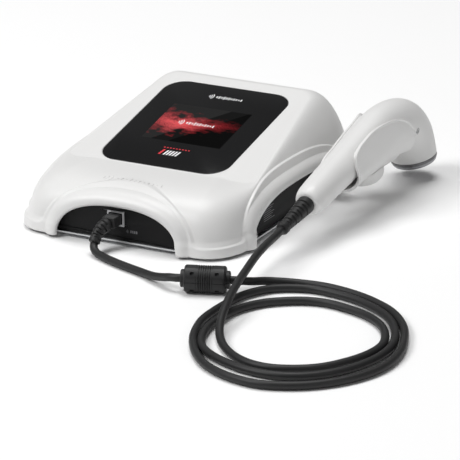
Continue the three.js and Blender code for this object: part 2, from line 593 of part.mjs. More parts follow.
function addHolder() {
  const frame = handFrame();
  const rest = trough(HOLDER_WALL, 1);
  const walls = join(alongX(shapeOf(OUTER_EAR), 0, 40), alongX(shapeOf(INNER_EAR), -40, 0.5));
  const throat = box(0, 175, -60, 38, 46, 60);
  add("holder_cradle", cut(common(rest, walls), trough(0), throat), COLOUR.shell, frame);

  const lobe = turned([
    [0, -35.5], [8.5, -35.5], [12.5, -34.3], [15, -31.9], [16.5, -28.5], [17, -24.5], [17, -12], [0, -12],
  ], 36).scale(1, 20 / 17, 1).translate(0, 116, 0).applyMatrix4(frame.matrixWorld);
  const arm = loft([[SIDE_PANEL_X + GAP + 0.6, 136, 156, 10, 19],
    [150, 126, 150, 25, 38]].map(([x, y0, y1, z0, z1]) => [
    V(x, y0 + 3, z0), V(x, y1 - 3, z0), V(x, y1, z0 + 3), V(x, y1, z1 - 3),
    V(x, y1 - 3, z1), V(x, y0 + 3, z1), V(x, y0, z1 - 3), V(x, y0, z0 + 3),
  ]), "fan");
  const flange = box(SIDE_PANEL_X + GAP + 1.3, 138, 7, 2.6, 52, 9.5);
  const clearance = trough(HOLDER_WALL + GAP, 1).applyMatrix4(frame.matrixWorld);
  const above = box(0, 125, -18, 120, 180, 120).applyMatrix4(frame.matrixWorld);
  const holes = SCREW_Y.map((y) => disc(1.8, 12, 12).rotateY(Math.PI / 2)
    .translate(SIDE_PANEL_X - 2, y, 11.8));
  add("holder_arm", cut(join(lobe, arm, flange), clearance, above, ...holes), COLOUR.shell);
  SCREW_Y.forEach((y, i) => {
    const screw = join(disc(3, 1.8, 16), disc(1.4, 3, 12).translate(0, 0, -2.8));
    screw.rotateY(Math.PI / 2).translate(SIDE_PANEL_X + 2 * GAP + 2.6, y, 11.8);
    add(`holder_screw_${i + 1}`, screw, COLOUR.steel);
  });
}

// ---------------------------------------------------------------- applicator
// each section of the shell spans from a point on the back to a point on the belly: [y, z], [y, z], half
// width
const SECTIONS = [
  [[-3, 8.4], [-3, -8.4], 8.4], [[-2, 10.6], [-2, -10.6], 10.6], [[1, 12.8], [1, -12.8], 12.8],
  [[6, 14.2], [6, -14.2], 14.2],
  [[16, 15], [16, -15], 15.1], [[50, 16.3], [50, -16], 16.3], [[80, 17.6], [80, -17], 17.3],
  [[110, 19], [109, -18.6], 18.4],
  [[136, 20.4], [134, -20.4], 19.5], [[160, 20.6], [151, -22.8], 20.3], [[185, 16.5], [166, -27], 21.2],
  [[208, 8], [178, -33], 22.2], [[225, -5], [185.5, -40], 23], [[234, -21], [189.5, -46.5], 23.3],
  [[236.5, -38], [190.5, -51.5], 23.1], [[236.4, -50.5], [190.4, -54], 22.9],
  [[236, -55], [190.2, -55], 22.9],
];

function shellHalf(side) {
  const steps = 12;
  const loops = SECTIONS.map(([[y1, z1], [y2, z2], half]) => {
    const [cy, cz, reach] = [(y1 + y2) / 2, (z1 + z2) / 2, Math.hypot(y1 - y2, z1 - z2) / 2];
    const [dy, dz] = [(y1 - y2) / 2 / reach, (z1 - z2) / 2 / reach];
    const arc = (inset) => {
      const points = [];
      for (let k = 0; k <= steps; k++) {
        const a = (Math.PI * k) / steps;
        const across = Math.max(0, (half - inset) * Math.sin(a)) + GAP / 2;
        const along = (reach - inset) * Math.cos(a);
        points.push(V(side * across, cy + dy * along, cz + dz * along));
      }
      return points;
    };
    return [...arc(0), ...arc(HANDSET_WALL).reverse()];
  });
  return loft(loops, "strip");
}

function addHandset() {
  const hand = handFrame();
  const { u, w, radius } = SOUND_HEAD;
  add("handset_shell_right", shellHalf(1), COLOUR.shell, hand);
  add("handset_shell_left", shellHalf(-1), COLOUR.shell, hand);
  const ring = (profile, segments = 36) => turned(profile, segments).translate(0, u, w);
  const band = (inner, outer, z0,
    z1) => ring([[inner, z0], [outer, z0], [outer, z1], [inner, z1], [inner, z0]]);
  add("head_ring", band(18.4, radius - 0.3, -3.4, -GAP), COLOUR.light, hand);
  const cup = [[0, -7], [radius - 2.4, -7], [radius - 1, -5.9], [radius - 1, -3.7], [18, -3.7], [18, 3.4],
    [16.4, 3.4], [16.4, -5.2], [0, -5.2]];
  add("sound_head", ring(cup), COLOUR.aluminium, hand);
  add("head_seal", band(18.3, 20.1, 0.2, 2.8), COLOUR.rubber, hand);
  add("piezo_crystal", ring([[0, -4.9], [14.2, -4.9], [14.2, -2.8], [0, -2.8]]), COLOUR.ceramic, hand);
  add("contact_ring", band(9, 12.5, -2.5, 0.8), COLOUR.copper, hand);
  add("handset_board", join(box(0, 92, -3, 20, 60, 1.6), box(0, 80, -1.6, 12, 14, 7),
    box(0, 104, -1.6, 9, 9, 3)), COLOUR.board, hand);
  const { from, to, base, tip } = RELIEF;
  const profile = [[0, to], [tip, to], [tip, to + 6.3], [base, from - 5], [base, from], [5.8, from],
    [5.8, 1.6], [9, 1.6], [9, 4.2], [0, 4.2]];
  add("handset_relief", turned(profile, 20).rotateX(-Math.PI / 2), COLOUR.rubber, hand);
  return V(0, to - GAP, 0).applyMatrix4(hand.matrixWorld);
}

// ---------------------------------------------------------------- lead
const LEAD_ROUTE = [[-7, -107.6, 8.6], [-5, -111.5, 6.2], [-0.8, -115, 4.6], [5, -118, 4.1],
  [13, -121.5, 3.9], [31.7, -128.3, 3.9],
  [58.7, -138, 4.1], [74, -146, 5.9], [88, -152.4, 9.2], [96, -155.8, 11.6]];
const LONG_ROUTE = [[155.5, -135.6, 11.6], [163, -127.2, 9.6], [171.9, -112, 6.4], [194.7, -99.4, 4.2],
  [222, -96, 3.95],
  [253.5, -102, 3.95], [278.4, -112.7, 3.95], [300.8, -127.7, 3.95], [322, -152.8, 3.95],
  [334.7, -177.7, 3.95], [345.6, -210.6, 3.95],
  [348, -239.6, 3.95], [343.2, -264.3, 3.95], [329.2, -291.7, 3.95], [311.5, -310.6, 3.95],
  [292.9, -322.3, 3.95], [269.5, -329.5, 3.95],
  [241.7, -325.5, 3.95], [214, -311.9, 3.95], [193.9, -292.1, 3.95], [178.8, -269.1, 3.95],
  [170, -250.3, 3.95], [161.5, -219.1, 3.95],
  [160.6, -195.4, 3.95], [162.1, -170.2, 3.95], [164.9, -150.2, 3.95], [171.4, -134.4, 3.95],
  [181.9, -120.7, 3.95], [195.3, -112.5, 3.95],
  [212.8, -106.9, 3.95], [235, -108.1, 3.95], [259.3, -114.3, 3.95], [285.3, -127.5, 3.95],
  [306, -145.1, 3.95], [323.5, -171.8, 3.95],
  [333.3, -201.6, 3.95], [334, -229.8, 3.95], [326.8, -257.9, 3.95], [311.8, -283.4, 3.95],
  [292.6, -299.5, 3.95], [271.6, -306.5, 3.95],
  [248, -305.7, 3.95], [223.3, -297.8, 3.95], [203.8, -287, 3.95], [190.5, -274.7, 3.95], [182, -259.8, 3.95],
  [174.6, -236.2, 3.95],
  [172.8, -213.3, 3.95], [174.5, -194.4, 3.95], [179.3, -175.7, 3.95], [189.2, -158.4, 3.95],
  [203.1, -145.9, 3.95], [221.1, -135.9, 3.95],
  [239.5, -132.6, 3.95], [262.9, -137, 3.95], [285.3, -145.7, 3.95], [305.2, -161.5, 3.95],
  [318.5, -182.1, 3.95], [325.5, -205.6, 3.95],
  [323.1, -229.7, 3.95], [313.8, -253.4, 3.95], [300.2, -273.4, 3.95], [283.2, -285.8, 3.95],
  [264.7, -292.7, 3.95], [248.2, -292.5, 3.95],
  [231.2, -286.2, 3.95], [213.2, -272.7, 3.95], [196.4, -252.4, 4.5], [188, -237.5, 7.5],
  [181.9, -221.5, 11.5], [177.7, -206.4, 15],
  [172.2, -185.8, 18], [167.1, -162.8, 20.5], [161.6, -134.5, 22.8], [156.5, -107, 25], [152.8, -78.4, 26.8],
  [150.4, -55.8, 27]];
const PLUG_RELIEF = [[-5, -88.3, 23.7], [-5, -90.6, 23.6], [-5.3, -95.2, 22], [-6.2, -100.6, 15.8],
  [-7, -105, 11]];
const PLUG_RELIEF_RADII = [5.4, 5.2, 4.9, 4.6, 4.4];

// round tapering piece along a path that lies close to the YZ plane
function taper(path, radii, sides) {
  const curve = new THREE.CatmullRomCurve3(path.map((p) => V(...p)));
  const loops = [];
  for (let i = 0; i < 9; i++) {
    const k = (i / 8) * (radii.length - 1);
    const at = Math.min(radii.length - 2, Math.floor(k));
    const radius = lerp(radii[at], radii[at + 1], k - at);
    const tangent = curve.getTangent(i / 8);
    const side = V(1, 0, 0).addScaledVector(tangent, -tangent.x).normalize();
    const up = side.clone().cross(tangent);
    const loop = [];
    for (let j = 0; j < sides; j++) {
      const a = (2 * Math.PI * j) / sides;
      const p = curve.getPoint(i / 8);
      loop.push(p.addScaledVector(side, radius * Math.cos(a)).addScaledVector(up, radius * Math.sin(a)));
    }
    loops.push(loop);
  }
  return loft(loops, "fan");
}

function addChoke() {
  const choke = new THREE.Group();
  choke.position.set(CHOKE.x, CHOKE.y, CHOKE.z);
  choke.rotation.z = THREE.MathUtils.degToRad(CHOKE.heading);
  device.add(choke);
  choke.updateMatrixWorld(true);
  const { half: h, radius: r } = CHOKE;
  const bore = LEAD_D / 2 + GAP;
  const profile = [[bore, -h], [8, -h], [8, -h + 3.3], [r - 1.2, -h + 3.5], [r, -h + 5.2], [r, h - 5.2],
    [r - 1.2, h - 3.5], [8, h - 3.3],
    [8, h], [bore, h], [bore, h - 4.6], [9.2, h - 4.6], [9.2, -h + 4.6], [bore, -h + 4.6], [bore, -h]];
  const sleeve = turned(profile, 28).rotateY(Math.PI / 2);
  add("choke_shell_top", common(sleeve, box(0, 0, GAP / 2, 60, 40, 20)), COLOUR.rubber, choke);
  add("choke_shell_bottom", common(sleeve, box(0, 0, -20 - GAP / 2, 60, 40, 20)), COLOUR.rubber, choke);
  const core = [[bore, -h + 5], [8.9, -h + 5], [8.9, h - 5], [bore, h - 5], [bore, -h + 5]];
  add("lead_choke_core", turned(core, 28).rotateY(Math.PI / 2), COLOUR.ferrite, choke);
  add("lead_through_choke", disc(LEAD_D / 2, 2 * h, 12).rotateY(Math.PI / 2)
    .translate(-h, 0, 0), COLOUR.rubber, choke);
  return [-h - GAP, -h - 4, h + 4, h + GAP].map((x) => V(x, 0, 0).applyMatrix4(choke.matrixWorld).toArray());
}

function addLead(handsetEnd) {
  add("plug_relief", taper(PLUG_RELIEF, PLUG_RELIEF_RADII, 16), COLOUR.rubber);
  const [near, nearer, farther, far] = addChoke();
  const start = [-7, -105.4, 10.55];
  add("cord_lead", tube([start, ...LEAD_ROUTE, nearer, near], LEAD_D, 10, 14), COLOUR.rubber);
  add("cord_main", tube([far, farther, ...LONG_ROUTE, handsetEnd.toArray()], LEAD_D, 10, 80), COLOUR.rubber);
}

addConsole();
addScreen();
addElectronics();
addRearFittings();
addSocket();
addHolder();
addLead(addHandset());

// the device stands on z = 0, centred on the box of everything but the lead
device.updateMatrixWorld(true);
const extent = new THREE.Box3();
device.traverse((o) => {
  if (!o.isMesh || /^(cord|plug_relief|applicator_plug|choke_shell|lead_)/.test(o.name)) return;
  extent.expandByObject(o, true);
});
const middle = extent.getCenter(V(0, 0, 0));
device.position.set(-middle.x, -middle.y, -extent.min.z);

export default device;
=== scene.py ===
import json
import math

import bmesh
import bpy
import numpy as np
from mathutils import Matrix, Vector


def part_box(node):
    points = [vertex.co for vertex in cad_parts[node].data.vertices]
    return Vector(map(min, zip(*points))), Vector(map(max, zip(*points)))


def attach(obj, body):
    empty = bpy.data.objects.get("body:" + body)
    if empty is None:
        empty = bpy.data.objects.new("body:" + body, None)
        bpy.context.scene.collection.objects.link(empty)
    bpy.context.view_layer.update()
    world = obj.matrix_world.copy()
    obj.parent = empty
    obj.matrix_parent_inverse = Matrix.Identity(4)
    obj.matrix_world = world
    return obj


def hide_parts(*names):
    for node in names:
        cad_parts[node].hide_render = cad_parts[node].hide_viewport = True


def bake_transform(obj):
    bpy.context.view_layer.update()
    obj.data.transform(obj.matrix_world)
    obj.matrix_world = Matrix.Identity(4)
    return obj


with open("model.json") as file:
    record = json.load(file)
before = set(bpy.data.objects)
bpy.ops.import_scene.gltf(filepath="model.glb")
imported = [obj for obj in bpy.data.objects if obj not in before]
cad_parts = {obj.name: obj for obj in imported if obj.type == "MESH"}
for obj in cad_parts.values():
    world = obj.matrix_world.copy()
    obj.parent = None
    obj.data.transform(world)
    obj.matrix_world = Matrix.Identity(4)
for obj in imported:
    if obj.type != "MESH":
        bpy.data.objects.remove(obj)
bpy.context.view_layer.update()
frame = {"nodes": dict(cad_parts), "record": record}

# Shapes are worked out in millimetres in the console's own axes: x from its middle, y from the front edge of
# the screen face, z from the table. SHIFT takes them to the CAD's frame, by the place of one foot.
FOOT_AT = (-0.092, -0.054)
foot_low, foot_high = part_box("rubber_foot_1")
SHIFT = np.array([*((foot_low[k] + foot_high[k]) / 2 - FOOT_AT[k] for k in (0, 1)), 0.0])

CONSOLE, APPLICATOR = "console", "applicator"
GAP = 0.3


def metres(points):
    return np.asarray(points, float) * 0.001 + SHIFT


# ------------------------------------------------------------------ camera
CAMERA_AT = (1472.2, -2726.5, 1083.8)
AZIMUTH, ELEVATION = math.radians(27.11), math.radians(19.42)
LENS, SENSOR = 274.0, 36


def make_camera():
    camera = bpy.data.objects.new("camera", bpy.data.cameras.new("camera"))
    bpy.context.collection.objects.link(camera)
    flat = math.cos(ELEVATION)
    back = Vector((math.sin(AZIMUTH) * flat, -math.cos(AZIMUTH) * flat, math.sin(ELEVATION)))
    camera.location = Vector(metres(CAMERA_AT))
    camera.rotation_mode = "QUATERNION"
    camera.rotation_quaternion = (-back).to_track_quat("-Z", "Y")
    camera.data.sensor_width = SENSOR
    camera.data.lens = LENS
    camera.data.clip_start, camera.data.clip_end = 0.1, 50
    bpy.context.scene.camera = camera


make_camera()


# ------------------------------------------------------------------ materials
GRAIN_DEPTH = 0.0001
DRIFT_SIZE = 60


def node_material(name, colour, roughness, metallic=0.0, coat=0.0, grain=0.0, grain_size=0.6, tone=0.03,
                  wear=0.06, shine=0.5):
    """A surface whose colour drifts slowly, with a fine grain in its bump and roughness."""
    material = bpy.data.materials.new(name)
    material.use_nodes = True
    nodes, links = material.node_tree.nodes, material.node_tree.links
    shader = nodes["Principled BSDF"]
    place = nodes.new("ShaderNodeTexCoord")

    def noise(millimetres, detail):
        n = nodes.new("ShaderNodeTexNoise")
        n.inputs["Scale"].default_value = 1000 / millimetres
        n.inputs["Detail"].default_value = detail
        links.new(place.outputs["Object"], n.inputs["Vector"])
        return n

    drift, fine = noise(DRIFT_SIZE, 2), noise(grain_size, 3)
    ramp = nodes.new("ShaderNodeMapRange")
    ramp.inputs["To Min"].default_value = 1 - tone
    ramp.inputs["To Max"].default_value = 1 + tone
    links.new(drift.outputs["Fac"], ramp.inputs["Value"])
    mix = nodes.new("ShaderNodeVectorMath")
    mix.operation = "SCALE"
    mix.inputs[0].default_value = colour
    links.new(ramp.outputs["Result"], mix.inputs["Scale"])
    links.new(mix.outputs["Vector"], shader.inputs["Base Color"])
    rough = nodes.new("ShaderNodeMapRange")
    rough.inputs["To Min"].default_value = roughness - wear
    rough.inputs["To Max"].default_value = roughness + wear
    links.new(fine.outputs["Fac"], rough.inputs["Value"])
    links.new(rough.outputs["Result"], shader.inputs["Roughness"])
    if grain:
        bump = nodes.new("ShaderNodeBump")
        bump.inputs["Strength"].default_value = grain
        bump.inputs["Distance"].default_value = GRAIN_DEPTH
        links.new(fine.outputs["Fac"], bump.inputs["Height"])
        links.new(bump.outputs["Normal"], shader.inputs["Normal"])
    shader.inputs["Metallic"].default_value = metallic
    shader.inputs["Specular IOR Level"].default_value = shine
    shader.inputs["Coat Weight"].default_value = coat
    shader.inputs["Coat Roughness"].default_value = 0.08
    return material


def brushed(name, colour, roughness, direction):
    """Metal with fine lines along one axis."""
    material = node_material(name, colour, roughness, metallic=1.0)
    nodes, links = material.node_tree.nodes, material.node_tree.links
    place = nodes.new("ShaderNodeTexCoord")
    stretch = nodes.new("ShaderNodeMapping")
    stretch.inputs["Scale"].default_value = direction
    lines = nodes.new("ShaderNodeTexNoise")
    lines.inputs["Scale"].default_value = 400
    bump = nodes.new("ShaderNodeBump")
    bump.inputs["Strength"].default_value = 0.125
    bump.inputs["Distance"].default_value = GRAIN_DEPTH
    links.new(place.outputs["Object"], stretch.inputs["Vector"])
    links.new(stretch.outputs["Vector"], lines.inputs["Vector"])
    links.new(lines.outputs["Fac"], bump.inputs["Height"])
    links.new(bump.outputs["Normal"], nodes["Principled BSDF"].inputs["Normal"])
    return material


MATERIALS = {
    "shell": node_material("shell", (0.77, 0.767, 0.76), 0.42, coat=0.06, grain=0.22, grain_size=0.9,
                           tone=0.012),
    "panel": node_material("panel", (0.009, 0.009, 0.0095), 0.5, grain=0.5, grain_size=0.5, tone=0.1,
                           shine=0.16),
    "glass": node_material("glass", (0.007, 0.007, 0.0075), 0.16, tone=0.02, wear=0.02, shine=0.4),
    "rubber": node_material("rubber", (0.017, 0.017, 0.0175), 0.5, grain=0.35, grain_size=0.35, tone=0.12,
                            shine=0.38),
    "steel": brushed("steel", (0.62, 0.63, 0.64), 0.36, (0.05, 1, 1)),
    "aluminium": brushed("aluminium", (0.72, 0.73, 0.74), 0.26, (1, 1, 0.1)),
    "board": node_material("board", (0.02, 0.12, 0.05), 0.45, grain=0.3, tone=0.15),
    "component": node_material("component", (0.03, 0.03, 0.033), 0.5, grain=0.4, tone=0.15),
    "copper": brushed("copper", (0.75, 0.36, 0.2), 0.32, (1, 0.05, 1)),
    "ceramic": node_material("ceramic", (0.7, 0.66, 0.58), 0.45, grain=0.2, tone=0.05),
    "ferrite": node_material("ferrite", (0.035, 0.035, 0.037), 0.6, grain=0.6, tone=0.15),
    "light": node_material("light", (0.5, 0.5, 0.51), 0.35, metallic=0.3, grain=0.1, tone=0.03),
}
DARK_METAL = node_material("rim_metal", (0.16, 0.16, 0.165), 0.34, metallic=0.9, grain=0.08, tone=0.03)
FACE_METAL = brushed("face_metal", (0.3, 0.3, 0.31), 0.3, (1, 1, 0.1))
for part in frame["record"]["subparts"]:
    node = frame["nodes"][part["node"]]
    node.data.materials.clear()
    node.data.materials.append(MATERIALS[part["material_slot"]])


# ------------------------------------------------------------------ mesh helpers
def solid_object(name, points, faces):
    """An object from points in millimetres, with its faces turned outwards."""
    mesh = bpy.data.meshes.new(name)
    mesh.from_pydata([tuple(p) for p in metres(points)], [], [list(map(int, f)) for f in faces])
    shown = bpy.data.objects.new(name, mesh)
    bpy.context.collection.objects.link(shown)
    bpy.context.view_layer.objects.active = shown
    shown.select_set(True)
    bpy.ops.object.mode_set(mode="EDIT")
    bpy.ops.mesh.select_all(action="SELECT")
    bpy.ops.mesh.normals_make_consistent(inside=False)
    bpy.ops.object.mode_set(mode="OBJECT")
    shown.select_set(False)
    return shown


def piece(name, points, faces, slot, body, replaces=(), smooth=True, material=None, sharp=None):
    """A mesh from points in millimetres, on a body, finished as a material slot."""
    shown = solid_object(name, points, faces)
    mesh = shown.data
    mesh.materials.append(material or MATERIALS[slot])
    if smooth:
        mesh.shade_smooth()
    if sharp:
        mesh.set_sharp_from_angle(angle=math.radians(sharp))
    if body:
        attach(shown, body)
    if replaces:
        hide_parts(*replaces)
    return shown


def skin_faces(rows, columns, wrap=True):
    """Four-sided faces between neighbouring rows of a grid of points."""
    faces = []
    for i in range(rows - 1):
        for j in range(columns if wrap else columns - 1):
            a, b = i * columns + j, i * columns + (j + 1) % columns
            faces.append((a, b, b + columns, a + columns))
    return faces


def lofted(loops, capped=True):
    """Points and faces of a stack of equal closed loops; each capped end is one face."""
    loops = [np.asarray(loop, float) for loop in loops]
    n = len(loops[0])
    faces = skin_faces(len(loops), n)
    if capped:
        faces += [tuple(reversed(range(n))), tuple(range((len(loops) - 1) * n, len(loops) * n))]
    return np.vstack(loops), faces


def joined(*parts):
    """Several shapes as one list of points and one of faces."""
    points, faces, count = [], [], 0
    for p, f in parts:
        points.append(np.asarray(p, float))
        faces.extend(tuple(i + count for i in face) for face in f)
        count += len(p)
    return np.vstack(points), faces


def catmull(points, step):
    """Points about one step apart along a centripetal Catmull-Rom curve."""
    p = [np.asarray(q, float) for q in points]
    p = [2 * p[0] - p[1], *p, 2 * p[-1] - p[-2]]
    out = []
    for a, b, c, d in zip(p, p[1:], p[2:], p[3:]):
        t0, t1, t2 = (max(1e-4, np.linalg.norm(v - u)) ** 0.5 for u, v in ((a, b), (b, c), (c, d)))
        m1 = ((b - a) / t0 - (c - a) / (t0 + t1) + (c - b) / t1) * t1
        m2 = ((c - b) / t1 - (d - b) / (t1 + t2) + (d - c) / t2) * t1
        count = max(2, round(np.linalg.norm(c - b) / step))
        for k in range(count):
            s = k / count
            stay, leave = 2 * s**3 - 3 * s**2 + 1, s**3 - 2 * s**2 + s
            out.append(b * stay + m1 * leave + c * (3 * s**2 - 2 * s**3) + m2 * (s**3 - s**2))
    out.append(p[-2])
    return np.array(out)


def even(points, step):
    """The same line with points an equal step apart."""
    at = np.concatenate([[0], np.cumsum(np.linalg.norm(np.diff(points, axis=0), axis=1))])
    where = np.linspace(0, at[-1], max(2, round(at[-1] / step) + 1))
    return np.stack([np.interp(where, at, points[:, k]) for k in range(points.shape[1])], axis=1)


def frames(path):
    """A side and an up vector at each point, carried along the path without twist."""
    tangents = np.gradient(path, axis=0)
    tangents /= np.linalg.norm(tangents, axis=1)[:, None]
    sides, previous = [], np.array([1.0, 0, 0])
    for t in tangents:
        previous = previous - t * previous.dot(t)
        previous = previous / np.linalg.norm(previous)
        sides.append(previous)
    sides = np.array(sides)
    return sides, np.cross(sides, tangents)


def around(path, radius, sides):
    """A round piece along a path. radius(k, angle) is in millimetres, with k from 0 to 1."""
    across, up = frames(path)
    angles = np.linspace(0, 2 * math.pi, sides, endpoint=False)
    loops = []
    for i, (p, a, b) in enumerate(zip(path, across, up)):
        r = radius(i / (len(path) - 1), angles) * np.ones(sides)
        loops.append(p + np.outer(r * np.cos(angles), a) + np.outer(r * np.sin(angles), b))
    return lofted(loops)


HAND_AT = np.array([150, 13, 38.5])
HAND_TURN = Matrix.Rotation(math.radians(10), 3, "X") @ Matrix.Rotation(math.radians(-8), 3, "Y")


def hand(points):
    """From the applicator's own axes (y along the handle, z off its back) to the console's."""
    return np.asarray(points, float) @ np.array(HAND_TURN).T + HAND_AT


def box_points(low, high):
    (a, b, c), (d, e, f) = low, high
    points = [(a, b, c), (d, b, c), (d, e, c), (a, e, c), (a, b, f), (d, b, f), (d, e, f), (a, e, f)]
    faces = [(0, 3, 2, 1), (4, 5, 6, 7), (0, 1, 5, 4), (1, 2, 6, 5), (2, 3, 7, 6), (3, 0, 4, 7)]
    return np.array(points, float), faces


def turned(profile, segments, place):
    """A lathed solid about z from (radius, z) pairs, put in its place by a function."""
    angles = np.linspace(0, 2 * math.pi, segments, endpoint=False)
    circle = np.stack([np.cos(angles), np.sin(angles)], 1)
    return lofted([place(np.hstack([r * circle, np.full((segments, 1), z)])) for r, z in profile])


# ------------------------------------------------------------------ the lead
LEAD = 7.4
BOOT_START, BOOT_END = 3.1, 54.8
CHOKE = {"centre": (127.5, -147.35, 12.4), "heading": math.radians(20.26), "half": 22.1}
# The lead runs from the plug to the choke, round the coil on the table and up to the handle.
PLUG_ROUTE = [
    (-9.2, -105.2, 10), (-8, -107.9, 7.4), (-4.9, -110.9, 5.5), (0, -114, 4.3), (6.5, -117.2, 4),
    (14, -120.9, 3.9), (31.7, -128.3, 3.9), (58.7, -138, 4.1), (74, -146, 5.9), (88, -152.4, 9.2),
    (96, -155.8, 11.6)]
COIL_ENTRY = [
    (155.5, -135.6, 11.6), (163, -127.2, 9.6), (171.9, -112, 6.4), (194.7, -99.4, 4.2)]
COIL_Z = 3.95
COIL = [
    (222, -96), (253.5, -102), (278.4, -112.7), (300.8, -127.7), (322, -152.8), (334.7, -177.7),
    (345.6, -210.6), (348, -239.6), (343.2, -264.3), (329.2, -291.7), (311.5, -310.6), (292.9, -322.3),
    (269.5, -329.5), (241.7, -325.5), (214, -311.9), (193.9, -292.1), (178.8, -269.1), (170, -250.3),
    (161.5, -219.1), (160.6, -195.4), (162.1, -170.2), (164.9, -150.2), (171.4, -134.4), (181.9, -120.7),
    (195.3, -112.5), (212.8, -106.9), (235, -108.1), (259.3, -114.3), (285.3, -127.5), (306, -145.1),
    (323.5, -171.8), (333.3, -201.6), (334, -229.8), (326.8, -257.9), (311.8, -283.4), (292.6, -299.5),
    (271.6, -306.5), (248, -305.7), (223.3, -297.8), (203.8, -287), (190.5, -274.7), (182, -259.8),
    (174.6, -236.2), (172.8, -213.3), (174.5, -194.4), (179.3, -175.7), (189.2, -158.4), (203.1, -145.9),
    (221.1, -135.9), (239.5, -132.6), (262.9, -137), (285.3, -145.7), (305.2, -161.5), (318.5, -182.1),
    (325.5, -205.6), (323.1, -229.7), (313.8, -253.4), (300.2, -273.4), (283.2, -285.8), (264.7, -292.7),
    (248.2, -292.5), (231.2, -286.2), (213.2, -272.7)]
COIL_EXIT = [
    (196.4, -252.4, 4.5), (188, -237.5, 7.5), (181.9, -221.5, 11.5), (177.7, -206.4, 15),
    (172.2, -185.8, 18), (167.1, -162.8, 20.5), (161.6, -134.5, 22.8), (156.5, -107, 25),
    (152.8, -78.4, 26.8), (150.4, -55.8, 27)]


def choke_point(along, across=0.0, up=0.0):
    c, s = math.cos(CHOKE["heading"]), math.sin(CHOKE["heading"])
    x, y, z = CHOKE["centre"]
    return (x + along * c - across * s, y + along * s + across * c, z + up)


def make_lead():
    half = CHOKE["half"]
    through = [choke_point(a) for a in (-half - 4, -half, -10, 0, 10, half, half + 4)]
    handle_end = tuple(hand([(0, -BOOT_END - GAP, 0)])[0])
    coil = [(x, y, COIL_Z) for x, y in COIL]
    route = [*PLUG_ROUTE, *through, *COIL_ENTRY, *coil, *COIL_EXIT, handle_end]
    path = even(catmull(route[::-1], 2.0), 3.0)
    lead = piece("lead", *around(path, lambda k, a: LEAD / 2, 18), "rubber", None)
    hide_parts("cord_lead", "cord_main", "lead_through_choke")
    world = metres(path)
    length = float(np.linalg.norm(np.diff(world, axis=0), axis=1).sum())
    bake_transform(lead)
    return lead, world, length


lead, lead_path, lead_length = make_lead()


def groove(x, width):
    """1 in the middle of a groove of that width, falling smoothly to 0 at its sides."""
    return np.clip(1.25 * (1 + np.cos(np.clip(np.abs(x) / (width / 2), 0, 1) * math.pi)) / 2, 0, 1)


def ribbed(length, radii, pitch, first, last, width, depth, bridge):
    """Radius of a slotted strain relief: each groove stops at two bridges, a quarter turn from the last's."""
    def radius(k, angles):
        along = k * length
        r = np.interp(along, *radii)
        step = (along - first) / pitch
        which = round(step)
        inside = first - width <= along <= last + width
        cut = float(groove((step - which) * pitch, width)) if inside else 0.0
        turn = angles + (math.pi / 2 if which % 2 else 0)
        open_part = 1 / (1 + np.exp(-(np.abs(np.sin(turn)) - bridge) * 26))
        return r - depth * cut * open_part
    return radius


def make_relief():
    """The slotted boot at the handle, with the flange that the shells hold."""
    straight = np.array([(0, u, 0) for u in np.linspace(-BOOT_START, -BOOT_END, 330)])
    radii = ([0, 1.2, 5.4, 44.0, 45.2, 46.2, 50.6, 51.7], [8.0, 8.6, 8.5, 5.5, 5.9, 6.1, 6.0, 4.6])
    slots = ribbed(51.7, radii, pitch=5.1, first=8.5, last=42.0, width=2.5, depth=2.0, bridge=0.42)
    flange = [(5.8, -2.9), (5.8, 1.6), (9, 1.6), (9, 4.2), (0.01, 4.2)]
    shape = joined(around(hand(straight), slots, 72), turned(flange, 40, lambda p: hand(p[:, [0, 2, 1]])))
    piece("handset_relief_boot", *shape, "rubber", APPLICATOR, ["handset_relief"], sharp=50)


PLUG_BACK, PLUG_FRONT = -88, -74.4
PLUG_X, PLUG_Z = -4, 25.4
PLUG_ROUND = 0.8
BOOT_CURVE = [(-5, -88.3, 23.7), (-5.5, -90.6, 23.5), (-7.4, -95, 21.2), (-9.4, -100.2, 15.4),
              (-9.4, -104.7, 10.6)]


def make_plug():
    """The plug's body with finger ridges on its top, its tongue in the socket, and its slotted boot."""
    step = 0.16
    path = even(catmull(BOOT_CURVE, 0.2), step)
    length = len(path) * step
    radii = ([0, 1, 4, length - 5, length - 4.4, length - 0.8, length], [5.6, 6.4, 6.7, 5.1, 5.5, 5.4, 4.4])
    slots = ribbed(length, radii, pitch=3.0, first=3.4, last=length - 6, width=1.7, depth=1.7, bridge=0.4)
    boot = piece("plug_boot", *around(path, slots, 60), "rubber", CONSOLE, ["plug_relief"], sharp=50)
    loops = []
    middle = np.linspace(-86.4, -75.6, 109)
    for y in [PLUG_BACK, -87.8, -87.2, *middle, -74.9, PLUG_FRONT]:
        end = min(1.0, (y - PLUG_BACK) / PLUG_ROUND, (PLUG_FRONT - y) / PLUG_ROUND)
        inset = PLUG_ROUND * (1 - math.sqrt(max(0.0, 1 - (1 - end) ** 2)))
        ridge = 0.45 * float(groove(((y - PLUG_BACK) % 1.8) - 0.9, 1.3)) if -86 < y < -79 else 0.0
        w, h, r = 6.6 - inset, 5.2 - inset, 1.6 - inset * 0.5
        loop = []
        u, v = w - r, h - r
        for cx, cz, a0 in ((u, v, 0), (-u, v, 90), (-u, -v, 180), (u, -v, 270)):
            for k in range(7):
                a = math.radians(a0 + 15 * k)
                x, z = cx + r * math.cos(a), cz + r * math.sin(a)
                loop.append((PLUG_X + x, y, PLUG_Z + z - (ridge if z > h - 0.9 else 0)))
        loops.append(loop)
    tongue = box_points((PLUG_X - 4.5, -75.2, 21.9), (PLUG_X + 4.5, -64.1, 28.9))
    shape = joined(lofted(loops), tongue)
    plug = piece("plug_body", *shape, "rubber", CONSOLE, ["applicator_plug"], sharp=50)
    return plug, boot


